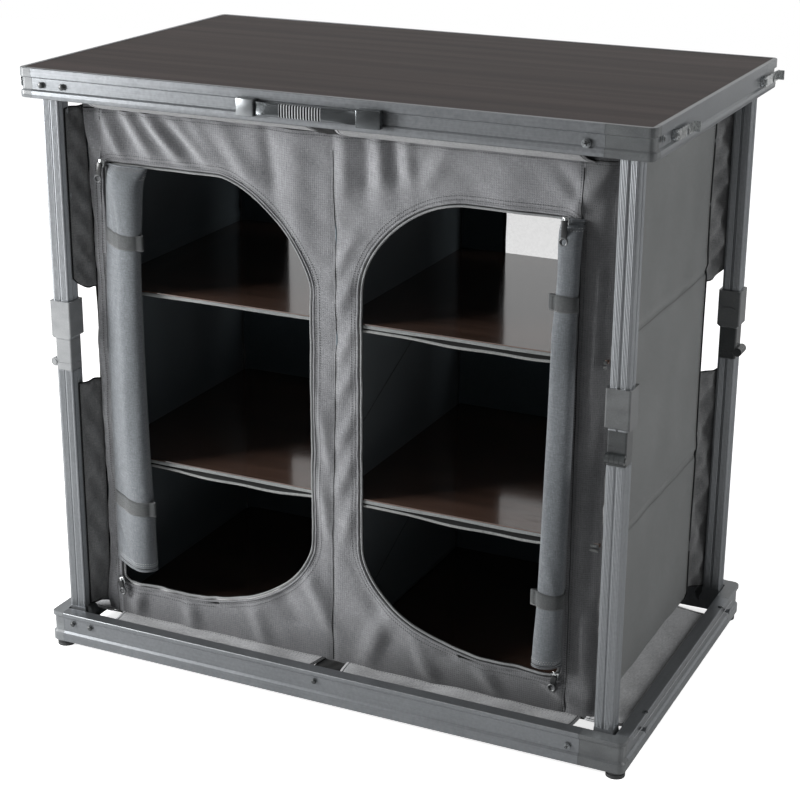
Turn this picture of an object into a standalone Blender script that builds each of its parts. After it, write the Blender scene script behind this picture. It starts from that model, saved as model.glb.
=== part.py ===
# A folding camp kitchen cupboard: a table top on four folding legs, a fabric cabinet hung between
# the two frames, and stiff shelves inside it. Metres, +Z up, the front faces -Y.

import math

import bmesh
import bpy
from mathutils import Matrix, Vector

# The whole cupboard, standing open.
WIDTH = 0.860
DEPTH = 0.524
TABLE_HEIGHT = 0.8286

# Clearances.
FIT = 0.0003
OVERRUN = 0.002
SOFT_GAP = 0.0008

# The rails of both frames, and the moulded corners between them.
RAIL_WIDTH = 0.018
RAIL_WALL = 0.0016
GROOVE_DEPTH = 0.0028
BASE_HEIGHT = 0.0447
TOP_HEIGHT = 0.0390
RIM_WIDTH = 0.006
CORNER_RADIUS = 0.009
CORNER_LONG = 0.060
CORNER_SHORT = 0.020
SPIGOT_LENGTH = 0.009
GUSSET_SIZE = 0.031
GUSSET_THICKNESS = 0.004

# Height up the rail and depth into the groove, as shares of the rail's height and groove.
BASE_PROFILE_SHARES = (
    (0.000, 0.40), (0.020, 0.00), (0.300, 0.00), (0.360, 1.00),
    (0.820, 1.00), (0.870, 0.00), (0.985, 0.00), (1.000, 0.30),
)
TOP_PROFILE_SHARES = (
    (0.000, 0.50), (0.025, 0.12), (0.125, 0.00), (0.240, 0.12), (0.295, 1.00),
    (0.665, 1.00), (0.710, 0.00), (0.985, 0.00), (1.000, 0.25),
)

# Feet.
FOOT_HEIGHT = 0.009
FOOT_RADIUS = 0.0125
FOOT_WAIST = 0.0105
FOOT_INSET = 0.0145

# Table board.
BOARD_THICKNESS = 0.005
BOARD_DROP = 0.0004

# Folding legs. Pins are placed from the frame that carries them.
LEG_WIDTH = 0.025
LEG_WALL = 0.0016
LEG_CORNER = 0.0022
LEG_GROOVE_WIDTH = 0.0022
LEG_GROOVE_DEPTH = 0.0009
PIVOT_GAP = 0.0045
LEG_GAP = 0.001
BASE_PIN_UP = 0.0305
TOP_PIN_DROP = 0.0204
PIN_OFFSET = 0.002
PIN_RADIUS = 0.003
PIN_REACH = 0.0035
BOSS_RADIUS = 0.007
LEG_END_HEIGHT = 0.018
LEG_END_BLEND = 0.011

# Knee hinges.
KNEE_OFFSET = 0.015
KNUCKLES = 4
BARREL_RADIUS = 0.0062
KNEE_PIN_RADIUS = 0.0022
KNEE_HEAD_RADIUS = 0.0034
KNEE_HEAD_THICKNESS = 0.0009
SOCKET_HEIGHT = 0.010
HEAD_HEIGHT = 0.034
KNEE_SPIGOT = 0.022

# Sliding lock collars.
COLLAR_WALL = 0.0031
COLLAR_CLEARANCE = 0.0004
COLLAR_HEIGHT = 0.052
COLLAR_LIFT = 0.002
COLLAR_CHAMFER = 0.0042
COLLAR_CHAMFER_RISE = 0.003
THUMB_LENGTH = 0.018
THUMB_HEIGHT = 0.006
THUMB_PROUD = 0.0014

# Side latches and the studs that they hook.
LATCH_INSET = 0.072
LATCH_HUB_RADIUS = 0.0066
LATCH_STANDOFF = 0.003
LATCH_PLATE = 0.0016
LATCH_HEIGHT = 0.013
LATCH_LENGTH = 0.060
LATCH_SLOT_GAP = 0.0005
LATCH_TAB = 0.0075
LATCH_RIVET_RADIUS = 0.0042
STUD_RADIUS = 0.0028
STUD_HEAD_RADIUS = 0.0046
STUD_HEAD = 0.0012

# Carry handle.
HANDLE_LENGTH = 0.202
HANDLE_CAP = 0.032
HANDLE_HEIGHT = 0.0185
HANDLE_PROUD = 0.012
STRAP_THICKNESS = 0.0055
STRAP_HEIGHT = 0.0165
HANDLE_RIBS = 15
RIB_PITCH = 0.0034
RIB_DEPTH = 0.0012

# Fabric cabinet. It stands inside the frame by one inset all round.
BODY_INSET = 0.062
BODY_BOTTOM = 0.0460
FABRIC = 0.002
PANEL_THICKNESS = 0.003
BODY_CORNER = 0.014
CABINET_TOP_GAP = 0.012
DOOR_INNER = 0.040
DOOR_SIDE_MARGIN = 0.043
DOOR_RISE = 0.062
DOOR_DROP = 0.1276
DOOR_ARC = 0.115
DOOR_CORNER = 0.010
WINDOW_INNER = 0.066
WINDOW_SIDE_MARGIN = 0.078
WINDOW_DROP = 0.0886
WINDOW_HEIGHT = 0.316
WINDOW_CORNER = 0.012
WING_THICKNESS = 0.0015
WING_DROP = 0.0716
WING_RISE = 0.020
WING_ABOVE_KNEE = 0.108
WING_BELOW_KNEE = 0.038
FLAP_THICKNESS = 0.0012
FLAP_END_INSET = 0.030
FLAP_SPLIT = 0.030

# Rolled doors.
ROLL_SHEET = 0.0024
ROLL_HEM = 0.010
ROLL_TURNS = 2.6
ROLL_CORE = 0.0060
ROLL_STEP = 0.0062
ROLL_INSET = 0.020
ROLL_END_GAP = 0.010
ROLL_POINTS_A_TURN = 14

# Stiff boards.
PANEL_BOARD = 0.005
BOARD_MARGIN = 0.002
BOARD_EDGE = 0.003

# The tops of the lower and the upper shelves, as shares of the table's height.
SHELF_TOP_SHARES = (0.3488, 0.6396)


def clear_scene():
    for old in list(bpy.data.objects):
        bpy.data.objects.remove(old, do_unlink=True)


clear_scene()
cupboard = bpy.data.collections.new("camp_kitchen_cupboard")
bpy.context.scene.collection.children.link(cupboard)
tools = bpy.data.collections.new("cutters")
bpy.context.scene.collection.children.link(tools)


def make_material(name, colour, roughness, metallic=0.0):
    material = bpy.data.materials.new(name)
    material.use_nodes = True
    shader = material.node_tree.nodes["Principled BSDF"]
    shader.inputs["Base Color"].default_value = (*colour, 1.0)
    shader.inputs["Roughness"].default_value = roughness
    shader.inputs["Metallic"].default_value = metallic
    material.diffuse_color = (*colour, 1.0)
    return material


MATERIALS = {
    "aluminium": make_material("grey_coated_aluminium", (0.22, 0.23, 0.24), 0.45, 0.6),
    "plastic": make_material("dark_grey_plastic", (0.055, 0.058, 0.058), 0.5),
    "rubber": make_material("black_rubber", (0.02, 0.02, 0.02), 0.8),
    "laminate": make_material("dark_wood_laminate", (0.075, 0.055, 0.052), 0.35),
    "board": make_material("dark_shelf_board", (0.05, 0.032, 0.028), 0.25),
    "fabric": make_material("grey_woven_fabric", (0.15, 0.15, 0.148), 0.9),
    "lining": make_material("black_lining", (0.006, 0.006, 0.007), 0.9),
    "door": make_material("blue_grey_door_fabric", (0.24, 0.27, 0.29), 0.85),
    "steel": make_material("bright_steel", (0.75, 0.76, 0.76), 0.25, 1.0),
    "black": make_material("black_plastic", (0.012, 0.012, 0.013), 0.4),
}


# Shaping tools. Each returns a loose object in the cutters collection, ready to combine.

def hold(name, mesh):
    obj = bpy.data.objects.new(name, mesh)
    obj.hide_render = True
    obj.display_type = "WIRE"
    tools.objects.link(obj)
    return obj


def hold_bmesh(name, bm):
    mesh = bpy.data.meshes.new(name)
    bm.to_mesh(mesh)
    bm.free()
    return hold(name, mesh)


def block(low, high):
    low, high = Vector(low), Vector(high)
    bm = bmesh.new()
    bmesh.ops.create_cube(bm, size=1.0)
    bmesh.ops.scale(bm, vec=high - low, verts=bm.verts)
    bmesh.ops.translate(bm, vec=(high + low) / 2, verts=bm.verts)
    return hold_bmesh("block", bm)


def drum(radius, start, end, sides=20, end_radius=None):
    # A cylinder or cone between two points.
    start, end = Vector(start), Vector(end)
    run = end - start
    turn = run.to_track_quat("Z", "Y").to_matrix().to_4x4()
    bm = bmesh.new()
    bmesh.ops.create_cone(bm, cap_ends=True, segments=sides, radius1=radius,
                          radius2=radius if end_radius is None else end_radius, depth=run.length,
                          matrix=Matrix.Translation((start + end) / 2) @ turn)
    return hold_bmesh("drum", bm)


def arc(centre, radius, start_deg, end_deg, steps):
    angles = [math.radians(start_deg + (end_deg - start_deg) * i / steps) for i in range(steps + 1)]
    return [(centre[0] + radius * math.cos(a), centre[1] + radius * math.sin(a)) for a in angles]


def rounded_box_outline(x_low, x_high, y_low, y_high, radii, steps=4):
    # Anticlockwise from the lower left; radii run lower left, lower right, upper right, upper left.
    corners = ((x_low, y_low, 1, 1), (x_high, y_low, -1, 1), (x_high, y_high, -1, -1),
               (x_low, y_high, 1, -1))
    outline = []
    for index, ((x, y, sx, sy), radius) in enumerate(zip(corners, radii)):
        start = 180 + 90 * index
        outline += arc((x + sx * radius, y + sy * radius), radius, start, start + 90, steps)
    return outline


ALONG_X = Matrix(((0, 0, 1, 0), (1, 0, 0, 0), (0, 1, 0, 0), (0, 0, 0, 1)))
ALONG_Y = Matrix(((1, 0, 0, 0), (0, 0, -1, 0), (0, 1, 0, 0), (0, 0, 0, 1)))
ALONG_Z = Matrix.Identity(4)


def prism(outline, low, high, along=ALONG_Z, holes=()):
    # A flat outline, with holes, drawn out between two places along one axis. Along X the outline
    # is (y, z), along Y it is (x, z), and along Z it is (x, y).
    curve = bpy.data.curves.new("outline", "CURVE")
    curve.dimensions = "2D"
    curve.fill_mode = "BOTH"
    curve.extrude = (high - low) / 2
    for points in (outline, *holes):
        spline = curve.splines.new("POLY")
        spline.points.add(len(points) - 1)
        for place, (x, y) in zip(spline.points, points):
            place.co = (x, y, 0, 1)
        spline.use_cyclic_u = True
    drawn = bpy.data.objects.new("outline", curve)
    tools.objects.link(drawn)
    bpy.context.view_layer.update()
    mesh = bpy.data.meshes.new_from_object(drawn.evaluated_get(bpy.context.evaluated_depsgraph_get()))
    bpy.data.objects.remove(drawn, do_unlink=True)
    bm = bmesh.new()
    bm.from_mesh(mesh)
    bmesh.ops.remove_doubles(bm, verts=bm.verts, dist=FIT / 10)
    bmesh.ops.dissolve_limit(bm, angle_limit=math.radians(0.5), verts=bm.verts, edges=bm.edges)
    middle = (low + high) / 2
    if along is ALONG_Y:
        middle = -middle
    bmesh.ops.transform(bm, matrix=along @ Matrix.Translation((0, 0, middle)), verts=bm.verts)
    bmesh.ops.recalc_face_normals(bm, faces=bm.faces)
    bpy.data.meshes.remove(mesh)
    return hold_bmesh("prism", bm)


def loft(rings):
    # Closed rings of points, one above another, skinned and capped.
    bm = bmesh.new()
    rows = [[bm.verts.new(point) for point in ring] for ring in rings]
    bm.faces.new(reversed(rows[0]))
    bm.faces.new(rows[-1])
    for below, above in zip(rows, rows[1:]):
        count = len(below)
        for i in range(count):
            j = (i + 1) % count
            bm.faces.new((below[i], below[j], above[j], above[i]))
    bmesh.ops.remove_doubles(bm, verts=bm.verts, dist=FIT / 10)
    bmesh.ops.recalc_face_normals(bm, faces=bm.faces)
    return hold_bmesh("loft", bm)


def solid(name, body, joined=(), cut=()):
    # Joins and cuts the loose shapes, and keeps the result as one mesh.
    for operation, pieces in (("UNION", joined), ("DIFFERENCE", cut)):
        for piece in pieces:
            modifier = body.modifiers.new(operation.lower(), "BOOLEAN")
            modifier.operation = operation
            modifier.object = piece
    bpy.context.view_layer.update()
    mesh = bpy.data.meshes.new_from_object(body.evaluated_get(bpy.context.evaluated_depsgraph_get()))
    mesh.name = name
    for used in (body, *joined, *cut):
        bpy.data.objects.remove(used, do_unlink=True)
    mesh.shade_smooth()
    mesh.set_sharp_from_angle(angle=math.radians(35))
    return mesh


def empty(name, place=(0, 0, 0), turn_deg=0.0, parent=None):
    marker = bpy.data.objects.new(name, None)
    marker.location = place
    marker.rotation_euler = (0, 0, math.radians(turn_deg))
    marker.parent = parent
    cupboard.objects.link(marker)
    return marker


def piece(name, mesh, material, parent, place=(0, 0, 0)):
    obj = bpy.data.objects.new(name, mesh)
    obj.location = place
    obj.parent = parent
    if not mesh.materials:
        mesh.materials.append(MATERIALS[material])
    cupboard.objects.link(obj)
    return obj


# Places that several pieces share.
TOP_BOTTOM = TABLE_HEIGHT - TOP_HEIGHT
BOARD_LEDGE = TABLE_HEIGHT - BOARD_DROP - BOARD_THICKNESS - FIT
LEG_X = -(RAIL_WIDTH + PIVOT_GAP + LEG_WIDTH / 2)
LEG_Y = RAIL_WIDTH + LEG_GAP + LEG_WIDTH / 2
PIN_Y = LEG_Y + PIN_OFFSET
BASE_PIN_Z = FOOT_HEIGHT + BASE_PIN_UP
TOP_PIN_Z = TABLE_HEIGHT - TOP_PIN_DROP
KNEE_Y = LEG_Y - KNEE_OFFSET
KNEE_Z = (BASE_PIN_Z + TOP_PIN_Z) / 2
LINK_RISE = KNEE_Z - BASE_PIN_Z
LEG_END_RADIUS = LEG_WIDTH / 2 + PIN_OFFSET

# The frames are centred fore and aft on the whole cupboard, handle and all.
whole = empty("cupboard_centre", (0, HANDLE_PROUD / 2, 0))

# Each corner is the right front one turned about Z: its long arm lies along one rail, its short arm
# along the next, and its leg is pinned to the rail of the short arm and folds along it.
CORNERS = {
    "rf": empty("corner_place_rf", (WIDTH / 2, -DEPTH / 2, 0), 0, whole),
    "lf": empty("corner_place_lf", (-WIDTH / 2, -DEPTH / 2, 0), -90, whole),
    "lb": empty("corner_place_lb", (-WIDTH / 2, DEPTH / 2, 0), 180, whole),
    "rb": empty("corner_place_rb", (WIDTH / 2, DEPTH / 2, 0), 90, whole),
}
SIDES = {"rf": ("right", DEPTH), "lf": ("front", WIDTH), "lb": ("left", DEPTH), "rb": ("back", WIDTH)}


# Frames.

def frame_levels(bottom, height, shares, ledge=None):
    # Height, inset of the outer face and width of the rail, from the bottom up.
    levels = [(bottom + z * height, inset * GROOVE_DEPTH, RAIL_WIDTH) for z, inset in shares]
    if ledge is None:
        return levels
    below = [level for level in levels if level[0] < ledge]
    above = [(z, inset, RIM_WIDTH) for z, inset, _ in levels if z > ledge]
    return below + [(ledge, 0.0, RAIL_WIDTH), (ledge, 0.0, RIM_WIDTH)] + above


def rail_bore(levels):
    # The hollow of a rail: low and high (x, z) corners.
    low = (-RAIL_WIDTH + RAIL_WALL, levels[0][0] + RAIL_WALL)
    top = max(z for z, _, width in levels if width == RAIL_WIDTH)
    return low, (-GROOVE_DEPTH - RAIL_WALL, top - RAIL_WALL)


def make_rail(name, levels, length, extras=(), holes=()):
    (x_low, z_low), (x_high, z_high) = rail_bore(levels)
    outline = [(-inset, z) for z, inset, _ in levels]
    outline += [(-width, z) for z, _, width in reversed(levels)]
    bore = [(x_low, z_low), (x_high, z_low), (x_high, z_high), (x_low, z_high)]
    body = prism(outline, CORNER_SHORT + FIT, length - CORNER_LONG - FIT, ALONG_Y, [bore])
    return solid(name, body, extras, holes)


def make_corner(name, levels, extras=()):
    # An L with a rounded outer corner, its outline stepping in and out with the rail's section.
    rings = []
    for z, inset, width in levels:
        turn = arc((-CORNER_RADIUS, CORNER_RADIUS), CORNER_RADIUS - inset, -90, 0, 6)
        ring = [(-CORNER_LONG, inset), *turn, (-inset, CORNER_SHORT), (-RIM_WIDTH, CORNER_SHORT),
                (-width, CORNER_SHORT), (-width, width), (-CORNER_LONG, width),
                (-CORNER_LONG, RIM_WIDTH)]
        rings.append([(x, y, z) for x, y in ring])
    (x_low, z_low), (x_high, z_high) = rail_bore(levels)
    near, far, low, high = -x_high + FIT, -x_low - FIT, z_low + FIT, z_high - FIT
    along_long = block((-CORNER_LONG - SPIGOT_LENGTH, near, low),
                       (-CORNER_LONG + OVERRUN, far, high))
    along_short = block((-far, CORNER_SHORT - OVERRUN, low),
                        (-near, CORNER_SHORT + SPIGOT_LENGTH, high))
    return solid(name, loft(rings), (along_long, along_short, *extras))


base_levels = frame_levels(FOOT_HEIGHT, BASE_HEIGHT, BASE_PROFILE_SHARES)
top_levels = frame_levels(TOP_BOTTOM, TOP_HEIGHT, TOP_PROFILE_SHARES, BOARD_LEDGE)


def pin_hole(z):
    # Through the inner wall of a rail, where a leg is pinned.
    return drum(PIN_RADIUS + FIT, (-RAIL_WIDTH - OVERRUN, PIN_Y, z),
                (-RAIL_WIDTH + RAIL_WALL + OVERRUN, PIN_Y, z), 16)


def latch_places(length):
    return (LATCH_INSET, length - LATCH_INSET)


def stud(y):
    # Shank and head of the stud that a latch hooks.
    reach = LATCH_STANDOFF + LATCH_PLATE + LATCH_SLOT_GAP
    shank = drum(STUD_RADIUS, (-GROOVE_DEPTH - RAIL_WALL / 2, y, BASE_PIN_Z),
                 (reach + STUD_HEAD / 2, y, BASE_PIN_Z), 16)
    head = drum(STUD_HEAD_RADIUS, (reach, y, BASE_PIN_Z), (reach + STUD_HEAD, y, BASE_PIN_Z), 16)
    return shank, head


def latch_hole(y):
    # Through the outer wall, where a latch turns.
    return drum(STUD_RADIUS + FIT, (-GROOVE_DEPTH - RAIL_WALL - OVERRUN, y, TOP_PIN_Z),
                (OVERRUN, y, TOP_PIN_Z), 16)


gusset = block((-GUSSET_SIZE, RAIL_WIDTH / 2, FOOT_HEIGHT),
               (-RAIL_WIDTH - FIT, GUSSET_SIZE, FOOT_HEIGHT + GUSSET_THICKNESS))
base_corner = make_corner("base_corner", base_levels, (gusset,))
top_corner = make_corner("top_corner", top_levels)
foot_profile_steps = 24
foot_mesh = solid(
    "foot",
    drum(FOOT_RADIUS, (-FOOT_INSET, FOOT_INSET, 0), (-FOOT_INSET, FOOT_INSET, FOOT_HEIGHT / 2),
         foot_profile_steps),
    (drum(FOOT_WAIST, (-FOOT_INSET, FOOT_INSET, FOOT_HEIGHT / 3),
          (-FOOT_INSET, FOOT_INSET, FOOT_HEIGHT - FIT), foot_profile_steps, FOOT_RADIUS),),
)

for corner, place in CORNERS.items():
    side, length = SIDES[corner]
    latched = side in ("right", "left")
    studs = [shape for y in latch_places(length) for shape in stud(y)] if latched else []
    latch_holes = [latch_hole(y) for y in latch_places(length)] if latched else []
    base_rail = make_rail(f"base_rail_{side}", base_levels, length, studs, [pin_hole(BASE_PIN_Z)])
    top_rail = make_rail(f"top_rail_{side}", top_levels, length, (),
                         [pin_hole(TOP_PIN_Z), *latch_holes])
    piece(f"base_rail_{side}", base_rail, "aluminium", place)
    piece(f"top_rail_{side}", top_rail, "aluminium", place)
    piece(f"base_corner_{corner}", base_corner, "plastic", place)
    piece(f"top_corner_{corner}", top_corner, "plastic", place)
    piece(f"foot_{corner}", foot_mesh, "rubber", place)

board_x = WIDTH / 2 - RIM_WIDTH - FIT
board_y = DEPTH / 2 - RIM_WIDTH - FIT
board_mesh = solid("table_board", block((-board_x, -board_y, BOARD_LEDGE + FIT),
                                        (board_x, board_y, TABLE_HEIGHT - BOARD_DROP)))
piece("table_board", board_mesh, "laminate", whole)


# Folding legs, drawn with the pin at the origin and the tube rising from it.

def leg_section():
    # A square tube with a groove down the middle of each face.
    half = LEG_WIDTH / 2
    groove = LEG_GROOVE_WIDTH / 2
    quarter = [(-groove, -half), (-groove / 2, -half + LEG_GROOVE_DEPTH),
               (groove / 2, -half + LEG_GROOVE_DEPTH), (groove, -half)]
    quarter += arc((half - LEG_CORNER, -half + LEG_CORNER), LEG_CORNER, -90, 0, 3)
    outline = []
    for turn in range(4):
        spin = Matrix.Rotation(math.pi / 2 * turn, 2)
        outline += [tuple(spin @ Vector(point)) for point in quarter]
    inner = half - LEG_WALL
    return outline, [(-inner, -inner), (inner, -inner), (inner, inner), (-inner, inner)]


def make_leg_tube(name, length):
    outline, bore = leg_section()
    shifted = [[(x, y - PIN_OFFSET) for x, y in loop] for loop in (outline, bore)]
    tube = prism(shifted[0], LEG_END_HEIGHT - OVERRUN / 2, length, ALONG_Z, [shifted[1]])
    half = LEG_WIDTH / 2
    inner_face = half - PIN_OFFSET
    side = [*arc((0, 0), LEG_END_RADIUS, 180, 375, 14), (inner_face, LEG_END_BLEND),
            (inner_face, LEG_END_HEIGHT), (-LEG_END_RADIUS, LEG_END_HEIGHT)]
    end = prism(side, -half, half, ALONG_X)
    boss = drum(BOSS_RADIUS, (half - OVERRUN, 0, 0), (half + PIVOT_GAP - FIT, 0, 0), 20)
    pin = drum(PIN_RADIUS, (0, 0, 0), (half + PIVOT_GAP + PIN_REACH, 0, 0), 16)
    return solid(name, tube, (end, boss, pin))


def mirror_up(mesh):
    mesh.transform(Matrix.Scale(-1, 4, (0, 0, 1)))
    mesh.flip_normals()
    return mesh


def knuckle_span(index):
    width = LEG_WIDTH / KNUCKLES
    start = -LEG_WIDTH / 2 + index * width
    return start, start + width


def knee_part(name, height, own, others, pin_radius):
    # One half of a knee, drawn with the hinge pin at the origin and the half standing above it.
    half = LEG_WIDTH / 2
    y_low, y_high = KNEE_OFFSET - half, KNEE_OFFSET + half
    outline = rounded_box_outline(-half, half, y_low, y_high, [LEG_CORNER] * 4, 3)
    body = prism(outline, FIT / 2, height)
    plug = half - LEG_WALL - FIT
    spigot = block((-plug, KNEE_OFFSET - plug, height - OVERRUN),
                   (plug, KNEE_OFFSET + plug, height + KNEE_SPIGOT))
    joined = [spigot]
    for index in own:
        start, end = knuckle_span(index)
        joined.append(drum(BARREL_RADIUS, (start + FIT / 2, 0, 0), (end - FIT / 2, 0, 0)))
    cut = []
    for index in others:
        start, end = knuckle_span(index)
        cut.append(drum(BARREL_RADIUS + FIT, (start - FIT / 2, 0, 0), (end + FIT / 2, 0, 0)))
    # A relief is cut before the knuckles that it would reach are joined.
    shaped = hold("relieved", solid("relieved", body, (), cut))
    if pin_radius > KNEE_PIN_RADIUS:
        bore = drum(pin_radius, (-LEG_WIDTH, 0, 0), (LEG_WIDTH, 0, 0), 16)
        return solid(name, shaped, joined, (bore,))
    reach = half + KNEE_HEAD_THICKNESS
    pin = drum(KNEE_PIN_RADIUS, (-half - FIT, 0, 0), (half + FIT, 0, 0), 16)
    heads = [drum(KNEE_HEAD_RADIUS, (sign * (half + FIT / 2), 0, 0), (sign * reach, 0, 0), 16)
             for sign in (-1, 1)]
    return solid(name, shaped, (*joined, pin, *heads))


lower_tube = make_leg_tube("lower_leg_tube", LINK_RISE - SOCKET_HEIGHT - FIT)
upper_tube = mirror_up(make_leg_tube("upper_leg_tube", LINK_RISE - HEAD_HEIGHT - FIT))
knee_socket = mirror_up(knee_part("knee_socket", SOCKET_HEIGHT, (1, 3), (0, 2), KNEE_PIN_RADIUS))
knee_head = knee_part("knee_head", HEAD_HEIGHT, (0, 2), (1, 3), KNEE_PIN_RADIUS + FIT)


def make_collar():
    bore = LEG_WIDTH / 2 + COLLAR_CLEARANCE
    half = bore + COLLAR_WALL
    side = [(-half + COLLAR_CHAMFER, 0), (half - COLLAR_CHAMFER, 0), (half, COLLAR_CHAMFER_RISE),
            (half, COLLAR_HEIGHT), (-half, COLLAR_HEIGHT), (-half, COLLAR_CHAMFER_RISE)]
    body = prism(side, -half, half, ALONG_X)
    for edge in body.data.edges:
        low, high = (body.data.vertices[v].co for v in edge.vertices)
        edge.use_edge_sharp = abs(low.z - high.z) > COLLAR_HEIGHT / 2
    weight = body.data.attributes.new("bevel_weight_edge", "FLOAT", "EDGE")
    for edge, place in zip(body.data.edges, weight.data):
        place.value = 1.0 if edge.use_edge_sharp else 0.0
    rounding = body.modifiers.new("rounding", "BEVEL")
    rounding.limit_method = "WEIGHT"
    rounding.width = LEG_CORNER
    rounding.segments = 3
    thumb = [(y * THUMB_LENGTH / 2, COLLAR_HEIGHT / 2 + z * THUMB_HEIGHT / 2)
             for y, z in arc((0, 0), 1.0, 0, 345, 23)]
    bump = prism(thumb, -half - THUMB_PROUD, -half + COLLAR_WALL / 2, ALONG_X)
    hole = block((-bore, -bore, -OVERRUN), (bore, bore, COLLAR_HEIGHT + OVERRUN))
    return solid("collar", body, (bump,), (hole,))


collar_mesh = make_collar()
COLLAR_Z = KNEE_Z + HEAD_HEIGHT + COLLAR_LIFT
for corner, place in CORNERS.items():
    base_pivot = empty(f"base_pivot_{corner}", (LEG_X, PIN_Y, BASE_PIN_Z), 0, place)
    top_pivot = empty(f"top_pivot_{corner}", (LEG_X, PIN_Y, TOP_PIN_Z), 0, place)
    knee = empty(f"knee_pivot_{corner}", (LEG_X, KNEE_Y, KNEE_Z), 0, place)
    piece(f"lower_tube_{corner}", lower_tube, "aluminium", base_pivot)
    piece(f"upper_tube_{corner}", upper_tube, "aluminium", top_pivot)
    piece(f"knee_socket_{corner}", knee_socket, "plastic", knee)
    piece(f"knee_head_{corner}", knee_head, "plastic", knee)
    piece(f"lock_collar_{corner}", collar_mesh, "plastic", place, (LEG_X, LEG_Y, COLLAR_Z))


# Side latches, drawn about their own hinge line, with the hook plate lying along +Y.

def make_latch():
    half = LATCH_HEIGHT / 2
    closed = 2 * (KNEE_OFFSET + PIN_OFFSET)
    slot = STUD_RADIUS + LATCH_SLOT_GAP
    outline = [*arc((0, 0), half, 90, 270, 10), (closed - slot, -half),
               *arc((closed, 0), slot, 180, 0, 8), (closed + slot, -half),
               (LATCH_LENGTH, -half), (LATCH_LENGTH, half)]
    plate = prism(outline, LATCH_STANDOFF, LATCH_STANDOFF + LATCH_PLATE, ALONG_X)
    hub = drum(LATCH_HUB_RADIUS, (-GROOVE_DEPTH + FIT, 0, 0), (LATCH_STANDOFF + FIT, 0, 0))
    pin = drum(STUD_RADIUS, (-GROOVE_DEPTH - RAIL_WALL - FIT, 0, 0), (0, 0, 0), 16)
    face = LATCH_STANDOFF + LATCH_PLATE
    rivet = drum(LATCH_RIVET_RADIUS, (LATCH_STANDOFF, 0, 0), (face + STUD_HEAD, 0, 0), 16)
    tab = block((LATCH_STANDOFF + FIT / 2, LATCH_LENGTH - LATCH_PLATE, -half + FIT),
                (face + LATCH_TAB, LATCH_LENGTH + FIT, half - FIT))
    return solid("latch", plate, (hub, pin, rivet, tab))


latch_mesh = make_latch()
for corner, ends in (("rf", ("right_front", "right_back")), ("lb", ("left_back", "left_front"))):
    for end, y in zip(ends, latch_places(DEPTH)):
        piece(f"latch_{end}", latch_mesh, "steel", CORNERS[corner], (0, y, TOP_PIN_Z))


# Carry handle on the front rail.
HANDLE_FRONT = -DEPTH / 2 - HANDLE_PROUD
cap_face = HANDLE_LENGTH / 2 - HANDLE_CAP
strap_end = cap_face - FIT


def make_handle_cap():
    # Wedge-sided block with its foot in the rail's groove.
    half = HANDLE_HEIGHT / 2
    back = -DEPTH / 2 + GROOVE_DEPTH * TOP_PROFILE_SHARES[5][1] - FIT
    plan = [(cap_face, back), (cap_face, HANDLE_FRONT), (HANDLE_LENGTH / 2 - FIT, HANDLE_FRONT),
            (HANDLE_LENGTH / 2, HANDLE_FRONT + RIB_DEPTH), (HANDLE_LENGTH / 2, back)]
    seat = (TOP_PROFILE_SHARES[5][0] - TOP_PROFILE_SHARES[4][0]) * TOP_HEIGHT / 2 - FIT
    seat_z = TOP_BOTTOM + (TOP_PROFILE_SHARES[5][0] + TOP_PROFILE_SHARES[4][0]) * TOP_HEIGHT / 2
    foot = prism(plan, seat_z - seat, seat_z + seat)
    front = [(x, min(y, -DEPTH / 2 - FIT)) for x, y in plan]
    body = prism(front, seat_z - half, seat_z + half)
    return solid("handle_cap", body, (foot,)), seat_z


def make_strap(z_middle):
    # A flat grip with upright ribs over its middle.
    back = HANDLE_FRONT + STRAP_THICKNESS
    front_edge = []
    for rib in range(HANDLE_RIBS):
        x = (rib - (HANDLE_RIBS - 1) / 2) * RIB_PITCH
        front_edge += [(x - RIB_PITCH / 4, HANDLE_FRONT), (x - RIB_PITCH / 6, HANDLE_FRONT + RIB_DEPTH),
                       (x + RIB_PITCH / 6, HANDLE_FRONT + RIB_DEPTH), (x + RIB_PITCH / 4, HANDLE_FRONT)]
    plan = [(-strap_end, back), (-strap_end, HANDLE_FRONT), *front_edge, (strap_end, HANDLE_FRONT),
            (strap_end, back)]
    return solid("handle_strap", prism(plan, z_middle - STRAP_HEIGHT / 2, z_middle + STRAP_HEIGHT / 2))


cap_right, handle_z = make_handle_cap()
cap_left = cap_right.copy()
cap_left.transform(Matrix.Scale(-1, 4, (1, 0, 0)))
cap_left.flip_normals()
piece("handle_cap_right", cap_right, "plastic", whole)
piece("handle_cap_left", cap_left, "plastic", whole)
piece("handle_strap", make_strap(handle_z), "black", whole)


# Fabric cabinet.
side_x = WIDTH / 2 - BODY_INSET
back_y = DEPTH / 2 - BODY_INSET
CABINET_TOP = BOARD_LEDGE - CABINET_TOP_GAP
DOOR_OUTER = side_x - DOOR_SIDE_MARGIN
DOOR_BOTTOM = BODY_BOTTOM + DOOR_RISE
DOOR_TOP = TABLE_HEIGHT - DOOR_DROP
WINDOW_OUTER = side_x - WINDOW_SIDE_MARGIN
WINDOW_TOP = TABLE_HEIGHT - WINDOW_DROP
WINDOW_BOTTOM = WINDOW_TOP - WINDOW_HEIGHT
WING_TOP = TABLE_HEIGHT - WING_DROP
WING_UPPER_FOOT = KNEE_Z + WING_ABOVE_KNEE
WING_LOWER_HEAD = KNEE_Z - WING_BELOW_KNEE
WING_BOTTOM = BODY_BOTTOM + WING_RISE
PANEL_BACK = -back_y - FIT
floor_low = BODY_BOTTOM + FABRIC + FIT
PANEL_FRONT = PANEL_BACK - PANEL_THICKNESS


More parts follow.
